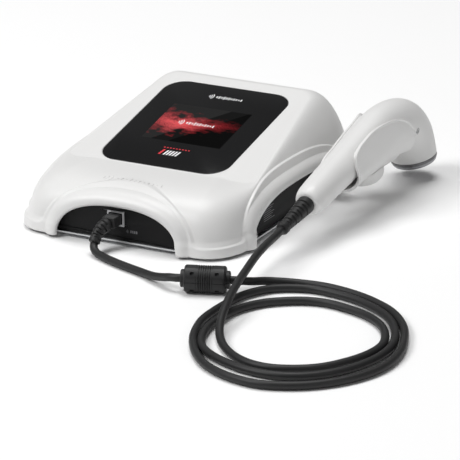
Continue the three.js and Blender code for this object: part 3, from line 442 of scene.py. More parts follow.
def make_choke():
    """Two clipped half shells round the lead: end collars, a band of ribs and small latch windows."""
    half = CHOKE["half"]
    ends = [16.6, 17.4, 18.4, 18.6, 19.0, 21.6, half]
    radii = [12.4, 12.2, 11.4, 8.3, 8.2, 8.1, 7.4]
    angles = np.linspace(0, 2 * math.pi, 160, endpoint=False)
    loops = []
    for x in np.linspace(-half, half, 300):
        r = np.full(160, np.interp(abs(x), ends, radii))
        if abs(x) < 6.0:
            r = r - 0.95 * groove(((x + 6.0) % 2.0) - 1.0, 1.3)
        for turn in (40, 140):
            beside = np.abs(np.sin(angles - math.radians(turn)) * 12.4) < 1.3
            r = r - 2.4 * ((abs(abs(x) - 11.2) < 1.7) * beside)
        r = r - 0.35 * (abs(abs(x) - 7.2) < 0.35)
        r = r - 0.4 * np.exp(-((np.sin(angles) * r / 0.28) ** 2))
        squared = 1 - 0.05 * np.cos(4 * angles) * (abs(x) < 17.5)
        r = np.minimum(r * squared, 12.35)
        loops.append([choke_point(x, ri * math.cos(a), ri * math.sin(a)) for ri, a in zip(r, angles)])
    shells = ["choke_shell_top", "choke_shell_bottom"]
    return piece("choke_case", *lofted(loops), "rubber", CONSOLE, shells, sharp=40)


make_relief()
plug_body, plug_boot = make_plug()
choke_case = make_choke()


# ------------------------------------------------------------------ the console's housing
# CREASE is the plan outline of the edge round the screen face and FOOT that of the lower edge: half widths at
# front and rear, y of front and rear, corner sizes in x and y, and the corners' exponent.
TILT, EDGE_Z, RIM_Z, WALL = math.radians(12), 54.6, 3.0, 2.6
CREASE = dict(hf=99, hr=79, yf=-2, yr=171.5, fx=30, fy=14, rx=15, ry=15, n=2.2)
FOOT = dict(hf=111.6, hr=111.6, yf=-76.6, yr=212, fx=34, fy=49, rx=32, ry=36, n=2.3)
ROUND_FRONT, ROUND_SIDE, ROUND_REAR = 4, 1.75, 2.2
BORDER = dict(height=10.5, lift=1.8, fillet=1.9, blend=6)
FLARE = dict(lift=2.0, fillet=7)
BROW = dict(lift=4.2, edge=0.45, crest=0.36, width=12.6)
SCREEN = dict(width=133, length=160.7, radius=21, glass=1.6, window=(83.4, 69.2), at=47.3)
FRONT_ARCH = dict(half=62.5, top=36.3, n=2.5, border_half=78.5, border_top=52, border_n=2.35)
SIDE_ARCH = dict(y=70, half=97.5, top=35.5, n=2.7, border_y=74, border_half=115, border_top=55, border_n=2.5)


def ease(k):
    return 0.5 - 0.5 * np.cos(math.pi * np.clip(k, 0, 1))


def mix(a, b, k):
    return a + (b - a) * k


def outline(t, o):
    """The right half of a plan outline: t runs 0 to 5 from mid front to mid rear."""
    t = np.asarray(t, float)
    a, b = np.clip(t - 1, 0, 1) * math.pi / 2, np.clip(t - 3, 0, 1) * math.pi / 2
    k, e = np.clip(t - 2, 0, 1), 2 / o["n"]
    near, far = o["yf"] + o["fy"], o["yr"] - o["ry"]
    bend = lambda v: np.maximum(v, 0) ** e
    zones = [t <= 1, t <= 2, t <= 3, t <= 4, t > 4]
    front, rear = o["hf"] - o["fx"], o["hr"] - o["rx"]
    x = np.select(zones, [front * t, front + o["fx"] * bend(np.sin(a)), mix(o["hf"], o["hr"], k),
                          rear + o["rx"] * bend(np.cos(b)), rear * (5 - t)])
    y = np.select(zones, [o["yf"] + 0 * t, near - o["fy"] * bend(np.cos(a)), mix(near, far, k),
                          far + o["ry"] * bend(np.sin(b)), o["yr"] + 0 * t])
    return x, y


def roundness(t):
    """Exponent of the wall's section, from the face down to the lower edge."""
    front = mix(ROUND_FRONT, ROUND_SIDE, ease((t - 0.3) / 1.6))
    return np.where(t < 2, front, mix(ROUND_SIDE, ROUND_REAR, ease(t - 3)))


def face_z(x, y):
    return EDGE_Z + math.tan(TILT) * y - 0.15 * np.maximum(0, np.abs(x) - SCREEN["width"] / 2 - 2)


def wall(t, s):
    """The plain outer surface: t goes round the plan, s from the crease down to the lower edge."""
    tx, ty = outline(t, CREASE)
    bx, by = outline(t, FOOT)
    e = 2 / roundness(t)
    out = np.sin(s * math.pi / 2) ** e
    down = 1 - np.maximum(np.cos(s * math.pi / 2), 0) ** e
    return np.stack([mix(tx, bx, out), mix(ty, by, out), mix(face_z(tx, ty), RIM_Z, down)], -1)


def height_to_s(t, z):
    top = face_z(*outline(t, CREASE))
    return 2 / math.pi * np.arccos(np.clip((z - RIM_Z) / (top - RIM_Z), 0, 1) ** (roundness(t) / 2))


def arch_distance(dx, dz, half, height, n):
    """About how far a point lies outside an arch shaped as a superellipse."""
    u, v = np.abs(dx) / half, np.maximum(0, dz) / height
    rho = np.maximum(1e-3, (u**n + v**n) ** (1 / n))
    slope = rho ** (1 - n) * np.hypot(u ** (n - 1) / half, v ** (n - 1) / height)
    return (rho - 1) / np.maximum(slope, 1e-4)


def relief(p, t):
    """How far the border and the rolled brow over each arch stand out of the wall."""
    front = (t < 1.5) | (t > 3.5)

    def distance(kind):
        half, top, n, y = (kind + name for name in ("half", "top", "n", "y"))
        apart = [arch_distance(across, p[..., 2] - RIM_Z, arch[half], arch[top] - RIM_Z, arch[n])
                 for arch, across in ((FRONT_ARCH, p[..., 0]), (SIDE_ARCH, p[..., 1] - SIDE_ARCH[y]))]
        return np.where(front, *apart)

    opening, arch = distance(""), distance("border_")
    low = p[..., 2] - BORDER["height"]
    h = np.maximum(BORDER["blend"] - np.abs(arch - low), 0) / BORDER["blend"]
    border = np.minimum(arch, low) - h * h * BORDER["blend"] / 4
    k, crest = np.clip(opening / BROW["width"], 0, 1), BROW["crest"]
    rise = np.sqrt(np.clip(1 - (1 - k / crest) ** 2, 0, 1))
    fall = ((k - crest) / (1 - crest)) ** 2
    brow = BROW["lift"] * np.where(k < crest, mix(BROW["edge"], 1, rise), 1 - fall)
    flare = FLARE["lift"] * (1 - ease(low / FLARE["fillet"]))
    return BORDER["lift"] * (1 - ease(border / BORDER["fillet"])) + flare + brow


def skin(t, s, depth=0.0):
    """The wall with its relief, at a depth under the surface."""
    d = 0.004
    p = wall(t, s)
    du = wall(np.minimum(5, t + d), s) - wall(np.maximum(0, t - d), s)
    dv = wall(t, np.minimum(1, s + d)) - wall(t, np.maximum(0, s - d))
    n = np.cross(dv, du)
    n /= np.maximum(np.linalg.norm(n, axis=-1), 1e-9)[..., None]
    inward = (n[..., 2] < -0.2) | (n[..., 0] * p[..., 0] + n[..., 1] * (p[..., 1] - 70) < -1e-6)
    n = np.where(inward[..., None], -n, n)
    return p + n * (relief(p, t) * ease(s / 0.15) - depth)[..., None]


def columns():
    """Where each column of the skin starts on the lower edge, as (t, s), and where it meets the crease."""
    f, g = FRONT_ARCH, SIDE_ARCH
    near = FOOT["yf"] + FOOT["fy"]
    span = FOOT["yr"] - FOOT["ry"] - near
    front_foot = f["half"] / (FOOT["hf"] - FOOT["fx"])
    side_start, side_end = (2 + (g["y"] + sign * g["half"] - near) / span for sign in (-1, 1))
    rear_foot = 5 - f["half"] / (FOOT["hr"] - FOOT["rx"])

    def arch_z(arch, a):
        return RIM_Z + (arch["top"] - RIM_Z) * math.sin(a) ** (2 / arch["n"])

    edge = []
    for i in range(100):
        a = math.pi / 2 * (1 - i / 100)
        edge.append((front_foot * math.cos(a) ** (2 / f["n"]), arch_z(f, a)))
    edge += [(mix(front_foot, side_start, i / 80), RIM_Z) for i in range(80)]
    for i in range(190):
        a = math.pi * (1 - i / 190)
        c = math.copysign(abs(math.cos(a)) ** (2 / g["n"]), math.cos(a))
        edge.append((mix(side_start, side_end, 0.5 + 0.5 * c), arch_z(g, a)))
    edge += [(mix(side_end, rear_foot, i / 70), RIM_Z) for i in range(70)]
    for i in range(101):
        a = math.pi / 2 * i / 100
        edge.append((5 - (5 - rear_foot) * math.cos(a) ** (2 / f["n"]), arch_z(f, a)))
    edge = np.array(edge)
    crease = np.interp(np.arange(len(edge)), (0, 100, 180, 370, 440, 540), (0, 0.9, 2.1, 2.9, 4.1, 5))
    t = edge[:, 0]
    s = np.where(edge[:, 1] <= RIM_Z + 1e-6, 1.0, height_to_s(t, edge[:, 1]))
    return t, s, crease


def mirrored(half):
    """A closed loop from its right half."""
    other = half[1:-1][::-1].copy()
    other[:, 0] *= -1
    return np.vstack([half, other])


def on_face(x, v, w):
    """A point on the sloping screen face: v up the slope, w out of it."""
    x, v, w = np.broadcast_arrays(*(np.asarray(a, float) for a in (x, v, w)))
    c, s = math.cos(TILT), math.sin(TILT)
    return np.stack([x, v * c - w * s, EDGE_Z + v * s + w * c], -1)


def screen_ring(inset, depth, at):
    """The cover glass's outline, moved in and down."""
    w, l, r = SCREEN["width"] / 2 - inset, SCREEN["length"], SCREEN["radius"] - inset
    x, v = outline(at, dict(hf=w, hr=w, yf=inset, yr=l - inset, fx=r, fy=r, rx=r, ry=r, n=2))
    return mirrored(on_face(x, v, -depth))


def make_housing():
    """Wall, face and the recess for the glass as one skin, folded in at its lower edge."""
    edge_t, edge_s, crease_t = columns()
    loops = []

    def row(r, depth=0.0, drop=0.0):
        p = skin(mix(edge_t, crease_t, r), edge_s * (1 - r), depth)
        p[:, 2] -= drop
        return mirrored(p)

    for r, depth, drop in ((0.12, WALL, 0), (0.04, WALL, 0), (0.0, WALL, 0), (0.0, WALL - 0.5, 0.45),
                           (0.0, WALL / 2, 0.6), (0.0, 0.5, 0.45)):
        loops.append(row(r, depth, drop))
    for q in np.linspace(0, 1, 150)[:-1]:
        loops.append(row(1 - (1 - q) ** 1.25))
    x, y = outline(crease_t, CREASE)
    crease = mirrored(np.stack([x, y, face_z(x, y)], 1))
    rim = screen_ring(-2 * GAP, 0, crease_t)
    recess = -2 * GAP + 0.15
    loops.append(crease)
    for k in (0.05, 0.12, 0.25, 0.5, 0.75, 0.93):
        loop = mix(crease, rim, k)
        loop[:, 2] = face_z(loop[:, 0], loop[:, 1])
        loops.append(loop)
    loops.append(rim)
    for inset, depth in ((recess, 0.2), (recess, 1.9), (5, 1.9)):
        loops.append(screen_ring(inset, depth, crease_t))
    piece("housing_skin", *lofted(loops, False), "shell", CONSOLE, ["upper_housing"])


def make_glass():
    at = np.linspace(0, 5, 160)
    edge = ((0.0, SCREEN["glass"]), (0.0, 0.5), (0.06, 0.25), (0.2, 0.08), (0.45, 0.0))
    loops = [screen_ring(inset, depth, at) for inset, depth in edge]
    piece("cover_glass", *lofted(loops), "glass", CONSOLE, ["touch_glass"], sharp=60)


make_housing()
make_glass()


# ------------------------------------------------------------------ the picture under the glass
def screen_material():
    """A lit display: a ragged band of red light across black, drawn from its place on the panel, with a
    painted glare: faint grey added to the emitted light on the left of a diagonal, in place of a reflection
    on the glass.
    """
    material = bpy.data.materials.new("display_picture")
    material.use_nodes = True
    nodes, links = material.node_tree.nodes, material.node_tree.links
    shader = nodes["Principled BSDF"]

    def math_node(kind, a, b=None, c=None):
        n = nodes.new("ShaderNodeMath")
        n.operation = kind
        for socket, value in zip(n.inputs, (a, b, c)):
            if value is None:
                continue
            if isinstance(value, (int, float)):
                socket.default_value = value
            else:
                links.new(value, socket)
        return n.outputs[0]

    place = nodes.new("ShaderNodeUVMap")
    split = nodes.new("ShaderNodeSeparateXYZ")
    links.new(place.outputs["UV"], split.inputs[0])
    x, y = split.outputs[0], split.outputs[1]

    def noise(scale, detail, squeeze):
        m = nodes.new("ShaderNodeMapping")
        m.inputs["Scale"].default_value = squeeze
        n = nodes.new("ShaderNodeTexNoise")
        n.inputs["Scale"].default_value, n.inputs["Detail"].default_value = scale, detail
        links.new(place.outputs["UV"], m.inputs["Vector"])
        links.new(m.outputs["Vector"], n.inputs["Vector"])
        return n.outputs["Fac"]

    wave = math_node("SINE", math_node("MULTIPLY", x, 5.2))
    middle = math_node("SUBTRACT", 0.53, math_node("MULTIPLY", wave, 0.05))
    away = math_node("ABSOLUTE", math_node("SUBTRACT", y, middle))
    spread = math_node("MULTIPLY_ADD", noise(7, 8, (1, 1.6, 1)), 0.75, -0.16)
    spread = math_node("MULTIPLY", spread, math_node("SUBTRACT", 1.75, math_node("MULTIPLY", x, 1.15)))
    glow = math_node("SUBTRACT", 1, math_node("DIVIDE", away, spread))
    glow = math_node("POWER", math_node("MAXIMUM", glow, 0), 0.8)
    aside = math_node("ABSOLUTE", math_node("SUBTRACT", x, 0.3))
    core = math_node("SUBTRACT", 1.25, math_node("MULTIPLY", aside, 1.45))
    glow = math_node("MULTIPLY", glow, math_node("MAXIMUM", core, 0))
    streaks = math_node("MULTIPLY_ADD", noise(90, 3, (1, 0.35, 1)), 1.9, -0.1)
    light = math_node("MULTIPLY", glow, streaks)
    ramp = nodes.new("ShaderNodeValToRGB")
    first, last = ramp.color_ramp.elements
    first.position, first.color = 0.05, (0, 0, 0, 1)
    last.position, last.color = 1.0, (0.85, 0.09, 0.10, 1)
    ramp.color_ramp.elements.new(0.45).color = (0.17, 0.008, 0.012, 1)
    links.new(light, ramp.inputs["Fac"])
    # Painted glare: two steps of faint grey emitted left of a diagonal line, standing in for a reflection on
    # the glass.
    edge = math_node("ADD", x, math_node("MULTIPLY", y, -0.62))
    painted_glare = math_node("MULTIPLY", math_node("LESS_THAN", edge, 0.12), 0.016)
    painted_glare = math_node("ADD", painted_glare, math_node("MULTIPLY", math_node("LESS_THAN", edge, 0.34), 0.006))
    grey = nodes.new("ShaderNodeCombineXYZ")
    for socket in grey.inputs:
        links.new(painted_glare, socket)
    total = nodes.new("ShaderNodeVectorMath")
    total.operation = "ADD"
    links.new(ramp.outputs["Color"], total.inputs[0])
    links.new(grey.outputs[0], total.inputs[1])
    links.new(total.outputs[0], shader.inputs["Emission Color"])
    shader.inputs["Emission Strength"].default_value = 0.9
    shader.inputs["Base Color"].default_value = (0.002, 0.002, 0.002, 1)
    shader.inputs["Roughness"].default_value = 0.2
    shader.inputs["Specular IOR Level"].default_value = 0.04
    return material


def printed(name, shapes, place, slot, material):
    """Thin printed shapes, given as closed outlines that a function puts on a surface."""
    points, faces = [], []
    for shape in shapes:
        base = len(points)
        points += [place(a, b) for a, b in shape]
        faces.append(tuple(range(base, base + len(shape))))
    piece(name, np.array(points), faces, slot, CONSOLE, smooth=False, material=material)


def on_glass(lift):
    return lambda x, v: on_face(x, v, lift)


def make_display():
    (w, l), v0 = SCREEN["window"], SCREEN["at"]
    nx, ny = 24, 20
    cells = [(i / nx, j / ny) for j in range(ny + 1) for i in range(nx + 1)]
    points = [on_face(-w / 2 + w * i, v0 + l * j, 0.06) for i, j in cells]
    faces = skin_faces(ny + 1, nx + 1, wrap=False)
    picture = piece("display_picture", np.array(points), faces, "glass", CONSOLE, material=screen_material())
    uv = picture.data.uv_layers.new(name="UVMap")
    for loop in picture.data.loops:
        uv.data[loop.index].uv = cells[loop.vertex_index]


def print_material(name, colour, glow):
    material = node_material(name, colour, 0.4, tone=0.05)
    shader = material.node_tree.nodes["Principled BSDF"]
    shader.inputs["Emission Color"].default_value = (*colour, 1)
    shader.inputs["Emission Strength"].default_value = glow
    return material


def arc_band(cx, cv, r0, r1, a0, a1):
    angles = [math.radians(mix(a0, a1, k / 14)) for k in range(15)]
    out = [(cx + r1 * math.cos(a), cv + r1 * math.sin(a)) for a in angles]
    return out + [(cx + r0 * math.cos(a), cv + r0 * math.sin(a)) for a in reversed(angles)]


def bar(x, v, w, h, lean=0.0):
    return [(x, v), (x + w, v), (x + w + lean, v + h), (x + lean, v + h)]


BAR_HEIGHTS = (0.5, 0.8, 0.45, 0.95, 0.6, 0.8, 0.4, 0.7, 0.5, 0.35, 0.6)


def wave_mark(x, v, size):
    """A generic sound mark: three arcs and a row of bars of changing height."""
    shapes = [arc_band(x, v, size * r, size * (r + 0.13), -42, 42) for r in (0.3, 0.62, 0.94)]
    shapes += [bar(x + size * (1.5 + 0.42 * k), v - size * h / 2, size * 0.2, size * h)
               for k, h in enumerate(BAR_HEIGHTS)]
    return shapes


WHITE_INK = print_material("white_ink", (0.75, 0.75, 0.76), 0.25)
RED_INK = print_material("red_ink", (0.5, 0.02, 0.03), 0.5)
GREY_INK = print_material("grey_ink", (0.16, 0.16, 0.17), 0.0)
make_display()
badge_bars = [bar(-6 + 3.1 * k, 22, 1.7, 8.5, 1.6) for k in range(5)]
badge_red = [bar(-11, 22, 2.2, 9.5, 1.8)] + [bar(-11 + 3.2 * k, 34.5, 1.7, 1.5) for k in range(9)]
printed("glass_top_mark", wave_mark(-17, 139, 6.2), on_glass(0.05), "light", WHITE_INK)
printed("screen_mark", wave_mark(-22, 84, 6.6), on_glass(0.12), "light", WHITE_INK)
printed("glass_badge", badge_bars, on_glass(0.05), "light", WHITE_INK)
printed("glass_badge_red", badge_red, on_glass(0.05), "light", RED_INK)


# ------------------------------------------------------------------ raised mark on the front shoulder
MARK_S = 0.215


def bead(radius, rise=8, least=0.2):
    """Radius along a thin rod whose ends are rounded off."""
    return lambda k, a: radius * min(1, rise * k + least, rise * (1 - k) + least)


def surface_line(points):
    """A rounded bead half sunk in the housing's wall, along points given as (t, s)."""
    def on_wall(t, s):
        return skin(np.array([abs(t)]), np.array([s]))[0] * np.array([math.copysign(1, t), 1, 1])

    line = even(catmull([on_wall(t, s) for t, s in points], 0.6), 0.6)
    return around(line, bead(0.42), 8)


def make_front_mark():
    """The generic sound mark again, in beads."""
    def at(x, s):
        return (x / (CREASE["hf"] - CREASE["fx"]) * 0.93 or 1e-4, s)

    turns = np.radians(np.linspace(-46, 46, 7))
    beads = [surface_line([at(-35 + r * math.cos(a), MARK_S - 0.0075 * r * math.sin(a)) for a in turns])
             for r in (4, 8, 12)]
    for k, h in enumerate(BAR_HEIGHTS):
        line = [at(-17 + 4.6 * k, MARK_S + q * h * 0.038) for q in (-1, -0.5, 0, 0.5, 1)]
        beads.append(surface_line(line))
    piece("front_mark", *joined(*beads), "shell", CONSOLE)


make_front_mark()


FRONT_PANEL_Y, SIDE_PANEL_X = -72.66, 107.46
socket_marks = wave_mark(6, 14.5, 2.6)[:3] + [bar(11 + 2 * k, 13.2, 1.1, 2.6) for k in range(4)]
printed("socket_print", socket_marks, lambda a, b: (a, FRONT_PANEL_Y, b), "panel", GREY_INK)
label_lines = [bar(-2 + 0.35 * k, 26 - 2.0 * k, 22 - (k % 3) * 3, 0.55, 0.3) for k in range(7)]
label_lines += [bar(-2 + 3 * k, 29, 1.6, 2) for k in range(5)]
printed("side_label", label_lines, lambda a, b: (SIDE_PANEL_X, 8 + a, b), "panel", GREY_INK)


# ------------------------------------------------------------------ applicator
# Each section runs from a point (y, z) on the back to one on the belly, with its half width.
SECTIONS = [
    ((-3, 8.4), (-3, -8.4), 8.4), ((-2.6, 9.7), (-2.6, -9.7), 9.7), ((-1.2, 11.6), (-1.2, -11.6), 11.6),
    ((1.5, 13), (1.5, -13), 13), ((6, 14.2), (6, -14.2), 14.2), ((16, 15), (16, -15), 15.1),
    ((50, 16.3), (50, -16), 16.3), ((80, 17.6), (80, -17), 17.3), ((110, 19), (109, -18.6), 18.4),
    ((136, 20.4), (134, -20.4), 19.5), ((160, 20.6), (151, -22.8), 20.3), ((185, 16.5), (166, -27), 21.2),
    ((208, 8), (178, -33), 22.2), ((225, -5), (185.5, -40), 23), ((234, -21), (189.5, -46.5), 23.3),
    ((236.5, -38), (190.5, -51.5), 23.1), ((236.4, -50.5), (190.4, -54), 22.9),
    ((236, -55), (190.2, -55), 22.9)]
HEAD = (0, 213.1, -55)
HEAD_RADIUS = 22.9
SHELL_WALL = 2.2
SEAM = 0.02


def body_line(step):
    return catmull([(y1, z1, y2, z2, half) for (y1, z1), (y2, z2), half in SECTIONS], step)


def on_section(section, angle, out):
    """A point at an angle from the back, that far out of the applicator's body."""
    y1, z1, y2, z2, half = section
    cy, cz, reach = (y1 + y2) / 2, (z1 + z2) / 2, math.hypot(y1 - y2, z1 - z2) / 2
    dy, dz = (y1 - y2) / 2 / reach, (z1 - z2) / 2 / reach
    along = (reach + out) * np.cos(angle)
    return np.stack([(half + out) * np.sin(angle), cy + dy * along, cz + dz * along], -1)


def make_shell(side):
    """Half of the applicator's body, a shell parted along the middle of its back and belly."""
    loops = []
    for section in body_line(1.6):
        near = 0.35 / (math.hypot(section[0] - section[2], section[1] - section[3]) / 2)
        turns = np.linspace(0, math.pi, 41)[1:-1]
        outer = np.concatenate([[0.0, near], turns, [math.pi - near, math.pi]])
        edge = np.zeros(len(outer))
        edge[[0, -1]] = -0.1
        inner = np.linspace(math.pi, 0, 9)
        loop = np.vstack([on_section(section, outer, edge), on_section(section, inner, -SHELL_WALL)])
        loop[:, 0] = side * (np.maximum(0, loop[:, 0]) + SEAM)
        loops.append(hand(loop))
    which = "right" if side > 0 else "left"
    piece(f"applicator_{which}_half", *lofted(loops), "shell", APPLICATOR, [f"handset_shell_{which}"],
          sharp=45)


def make_head():
    """The dark ring at the mouth of the body and the metal cup with the sound face."""
    r = HEAD_RADIUS
    ring = [(18.4, -0.3), (r - 0.5, -0.3), (r - 0.1, -0.7), (r - 0.1, -2.9), (r - 0.5, -3.4), (18.4, -3.4),
            (18.4, -0.3)]
    cup = [(0.01, -7.0), (r - 3.4, -7.0), (r - 2.5, -6.85), (r - 1.8, -6.4), (r - 1.3, -5.8), (r - 1.1, -5.1),
           (r - 1.1, -3.75), (18, -3.7), (18, 3.4), (16.4, 3.4), (16.4, -5.2), (0.01, -5.2)]
    for name, profile, slot, node, metal in (
            ("applicator_head_ring", ring, "light", "head_ring", DARK_METAL),
            ("applicator_sound_face", cup, "aluminium", "sound_head", FACE_METAL)):
        shape = turned(profile, 120, lambda p: hand(p + np.array(HEAD)))
        piece(name, *shape, slot, APPLICATOR, [node], sharp=35, material=metal)


make_shell(1)
make_shell(-1)
make_head()


def make_neck_mark():
    """A small generic raised ring on the side of the head's neck."""
    line = body_line(0.5)
    middle = float(np.argmin(np.abs(line[:, 0] - 211.5)))

    def on_body(k, angle):
        section = [np.interp(k, np.arange(len(line)), line[:, c]) for c in range(5)]
        return on_section(section, angle, 0.05)

    rings = []
    for radius, start, end in ((3.2, 20, 340), (1.5, 200, 520)):
        path = hand([on_body(middle + radius / 0.55 * math.sin(a), 1.84 + radius / 24 * math.cos(a))
                     for a in np.radians(np.linspace(start, end, 22))])
        rings.append(around(even(catmull(path, 0.3), 0.3), bead(0.38), 8))
    piece("neck_mark", *joined(*rings), "light", APPLICATOR)


make_neck_mark()


# ------------------------------------------------------------------ side holder
# TROUGH gives the hollow's half width and depth at places along the handle, and how much deeper its outside
# is. The ears are outlines (y, z) of the cradle's two sides, and CREST is the line of the outer one's step.
TROUGH = [(58, 19, 18.6, 0), (90, 19.8, 20, 0.6), (115, 20.6, 21.2, 3), (134, 21.2, 22.4, 5.2),
          (152, 21.8, 25, 6), (170, 23.8, 29, 6), (192, 27.2, 33, 6)]
OUTER_EAR = [(64, -15), (66.4, -10), (66, -2), (64.6, 6), (64.8, 12), (67.4, 16), (74.7, 19.1), (89, 21),
             (103, 21.8), (116, 20.7), (128.5, 18.4), (141, 15.4), (156, 10), (163, 6), (169, 0.5),
             (173.3, -6), (176, -13.3), (177, -20), (176, -28), (172, -35), (165, -42)]
INNER_EAR = [(65, -7), (76, 2.3), (104, 5.2), (137, 7.2), (160, 7.6), (172, 7.2), (178, 3), (179, -8),
             (172, -42)]
CREST = [(58, -4.2), (68, -5), (93, -8), (124, -12), (154, -15.4), (192, -17)]
CRADLE_WALL = 2.5
STEP = 0.9


def trough(grow, step=0.0, floor=0):
    """The cradle's hollow, or its outside when grown; a step stands out above the crest."""
    crest_y, crest_z = np.array(CREST, float).T
    loops = []
    for y, half, depth, extra in catmull(TROUGH, 1.5):
        depth += extra * floor
        crest = float(np.interp(y, crest_y, crest_z))
        half, depth = half + grow, depth + grow
        z = np.concatenate([np.linspace(0, crest + 0.15, 8), np.linspace(crest - 0.15, -depth * 0.93, 14)])
        x = half * (1 - (-z / depth) ** 2.5) ** (1 / 2.5) + np.where(z > crest, step, 0)
        a = np.linspace(math.acos((1 - 0.93**2.5) ** 0.5), math.pi, 44)[1:]
        x = np.concatenate([x, half * np.sign(np.cos(a)) * np.abs(np.cos(a)) ** 0.8])
        z = np.concatenate([z, -depth * np.maximum(np.sin(a), 0) ** 0.8])
        loop = np.stack([x, np.full(len(x), y), z], 1)
        loops.append(np.vstack([[(half + step, y, 44)], loop, [(-half, y, 44)]]))
    return lofted([hand(loop) for loop in loops])


def prism(ear, x0, x1, tail):
    """An ear's outline carried across in x; tail closes it below."""
    curve = catmull([(y, z, 0) for y, z in ear], 1.5)[:, :2]
    loop = [*map(tuple, curve), *tail]
    return lofted([hand([(x, y, z) for y, z in loop]) for x in (x0, x1)])


def carved(name, first, *steps):
    """A mesh cut from solids: steps are (operation, shape)."""
    body = solid_object(name, *first)
    for operation, shape in steps:
        tool = solid_object("tool", *shape)
        cutter = body.modifiers.new("cut", "BOOLEAN")
        cutter.operation, cutter.solver, cutter.object = operation, "EXACT", tool
        bpy.context.view_layer.objects.active = body
        bpy.ops.object.modifier_apply(modifier=cutter.name)
        bpy.data.objects.remove(tool, do_unlink=True)
    return body


def finish_solid(shown, slot, body, node, width, limit):
    """Break a solid's edges sharper than a limit by a small round, and show it in place of a CAD node."""
    mesh = shown.data
    mesh.materials.clear()
    mesh.materials.append(MATERIALS[slot])
    edge = shown.modifiers.new("bevel", "BEVEL")
    edge.width, edge.segments, edge.limit_method = width * 0.001, 3, "ANGLE"
    edge.angle_limit = math.radians(limit)
    bpy.context.view_layer.objects.active = shown
    bpy.ops.object.modifier_apply(modifier=edge.name)
    mesh.shade_smooth()
    mesh.set_sharp_from_angle(angle=math.radians(40))
    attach(shown, body)
    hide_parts(node)


def upright(corners, z0, z1):
    return lofted([hand([(x, y, z) for x, y in corners]) for z in (z0, z1)])


def make_holder():
    """The cradle: a trough's wall where it lies within the two ears, open behind for the head."""
    outer = prism(OUTER_EAR, 0, 40, [(64, -42)])
    inner = prism(INNER_EAR, -40, 0.02, [(65, -42)])
    both = carved("ears", outer, ("UNION", inner))
    ears = ((np.array([v.co for v in both.data.vertices]) - SHIFT) * 1000,
            [tuple(p.vertices) for p in both.data.polygons])
    bpy.data.objects.remove(both, do_unlink=True)
    throat = upright(((-19, 152), (19, 152), (19, 198), (-19, 198)), -60, 0)
    body = carved("holder_trough", trough(CRADLE_WALL, STEP, 1), ("INTERSECT", ears),
                  ("DIFFERENCE", trough(0)), ("DIFFERENCE", throat))
    finish_solid(body, "shell", CONSOLE, "holder_cradle", 0.9, 50)


def make_rim(ear, side, first, last):
    """A rounded bead along an ear's free edge, on its outer face."""
    half_at = np.array(TROUGH, float).T
    line = catmull([(y, z, 0) for y, z in ear[first:last]], 0.8)[:, :2]
    points = []
    for y, z in line:
        half, depth = (np.interp(y, half_at[0], half_at[k]) + CRADLE_WALL for k in (1, 2))
        depth += np.interp(y, half_at[0], half_at[3])
        half += STEP if side > 0 and z > np.interp(y, *np.array(CREST, float).T) else 0
        x = half * (1 - min(1, max(0, -z) / depth) ** 2.5) ** 0.4
        points.append((side * (x - 0.35), y, z))
    path = even(hand(catmull(points, 0.8)), 0.8)
    return around(path, bead(1.25, 14, 0.25), 14)


def make_arm():
    """The round foot under the cradle, the arm sloping from it into the arch, and its flange on the panel."""
    profile = [(0.01, -35.5), (7, -35.5), (10.3, -35.1), (12.8, -33.9), (14.7, -32), (16, -29.6),
               (16.8, -26.6), (17, -23.5), (17, -12), (0.01, -12)]
    lobe = turned(profile, 96, lambda p: hand(p * np.array([1, 20 / 17, 1]) + np.array([0, 116, 0])))
    c = 3
    arm = lofted([[(x, y0 + c, z0), (x, y1 - c, z0), (x, y1, z0 + c), (x, y1, z1 - c), (x, y1 - c, z1),
                   (x, y0 + c, z1), (x, y0, z1 - c), (x, y0, z0 + c)]
                  for x, y0, y1, z0, z1 in ((108.3, 136, 156, 10, 19), (150, 126, 150, 25, 38))])
    flange = box_points((107.7, 112, 7), (110.3, 164, 16.5))
    above = upright(((-60, 35), (60, 35), (60, 215), (-60, 215)), -18, 102)
    body = carved("holder_bracket", lobe, ("UNION", arm), ("UNION", flange),
                  ("DIFFERENCE", trough(CRADLE_WALL + GAP, 0, 1)), ("DIFFERENCE", above))
    finish_solid(body, "shell", CONSOLE, "holder_arm", 0.8, 50)


make_holder()
make_arm()
rims = joined(make_rim(OUTER_EAR, 1, 0, 18), make_rim(INNER_EAR, -1, 0, 8))
piece("holder_rims", *rims, "shell", CONSOLE)


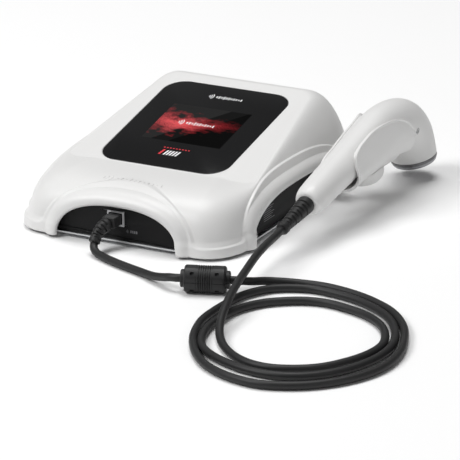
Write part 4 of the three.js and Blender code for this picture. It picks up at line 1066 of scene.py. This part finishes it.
# ------------------------------------------------------------------ small fittings
def softened(name, width, body=CONSOLE):
    """A CAD node's solid with its edges rounded. The bevel throws thin slivers out of some corners."""
    source = frame["nodes"][name]
    slot = next(p["material_slot"] for p in frame["record"]["subparts"] if p["node"] == name)
    mesh = source.data.copy()
    mesh.transform(source.matrix_world)
    shape = bmesh.new()
    shape.from_mesh(mesh)
    bmesh.ops.remove_doubles(shape, verts=shape.verts, dist=2e-6)
    bmesh.ops.dissolve_limit(shape, angle_limit=math.radians(1), verts=shape.verts, edges=shape.edges)
    shape.to_mesh(mesh)
    shape.free()
    shown = bpy.data.objects.new(f"{name}_soft", mesh)
    bpy.context.collection.objects.link(shown)
    finish_solid(shown, slot, body, name, width, 32)


EDGE_ROUNDS = {"power_inlet": 0.45, "switch_frame": 0.4, "fuse_holder": 0.35, "fuse_cap": 0.4,
               "socket_bezel": 0.25, "applicator_socket": 0.25, "holder_screw_1": 0.25,
               "holder_screw_2": 0.25, "front_panel": 0.2, "rear_panel": 0.2, "left_panel": 0.2,
               "right_panel": 0.2, "base_plate": 0.25}
for fitting, width in EDGE_ROUNDS.items():
    softened(fitting, width)
softened("power_rocker", 0.45, "rocker")
for number in (1, 2, 3, 4):
    softened(f"rubber_foot_{number}", 0.3)
    softened(f"base_screw_{number}", 0.2)


# ------------------------------------------------------------------ floor and light
def make_stage():
    reach, under = 4.0, -0.0002
    mesh = bpy.data.meshes.new("floor")
    corners = [(SHIFT[0] + x * reach, y * reach, under) for x, y in ((-1, -1), (1, -1), (1, 1), (-1, 1))]
    mesh.from_pydata(corners, [], [(0, 1, 2, 3)])
    floor = bpy.data.objects.new("floor", mesh)
    bpy.context.collection.objects.link(floor)
    mesh.materials.append(node_material("floor", (0.97, 0.97, 0.97), 0.75, grain=0.05, tone=0.002))

    def area(name, at, towards, size, power):
        light = bpy.data.lights.new(name, "AREA")
        light.shape, light.size, light.energy = "DISK", size, power
        lamp = bpy.data.objects.new(name, light)
        bpy.context.collection.objects.link(lamp)
        lamp.location = at
        lamp.rotation_mode = "QUATERNION"
        lamp.rotation_quaternion = (Vector(towards) - Vector(at)).to_track_quat("-Z", "Y")

    area("key", (-2.1, -2.6, 3.4), (0, 0, 0.03), 2.2, 120)
    area("top", (-0.5, 0.7, 4.6), (0, 0, 0), 3.0, 135)
    area("side", (2.9, -1.1, 1.3), (0, 0, 0.03), 1.5, 9)
    world = bpy.data.worlds.new("studio")
    world.use_nodes = True
    background = world.node_tree.nodes["Background"]
    background.inputs["Color"].default_value = (1, 1, 1, 1)
    background.inputs["Strength"].default_value = 0.12
    bpy.context.scene.world = world
    bpy.context.scene.view_settings.view_transform = "Standard"


make_stage()
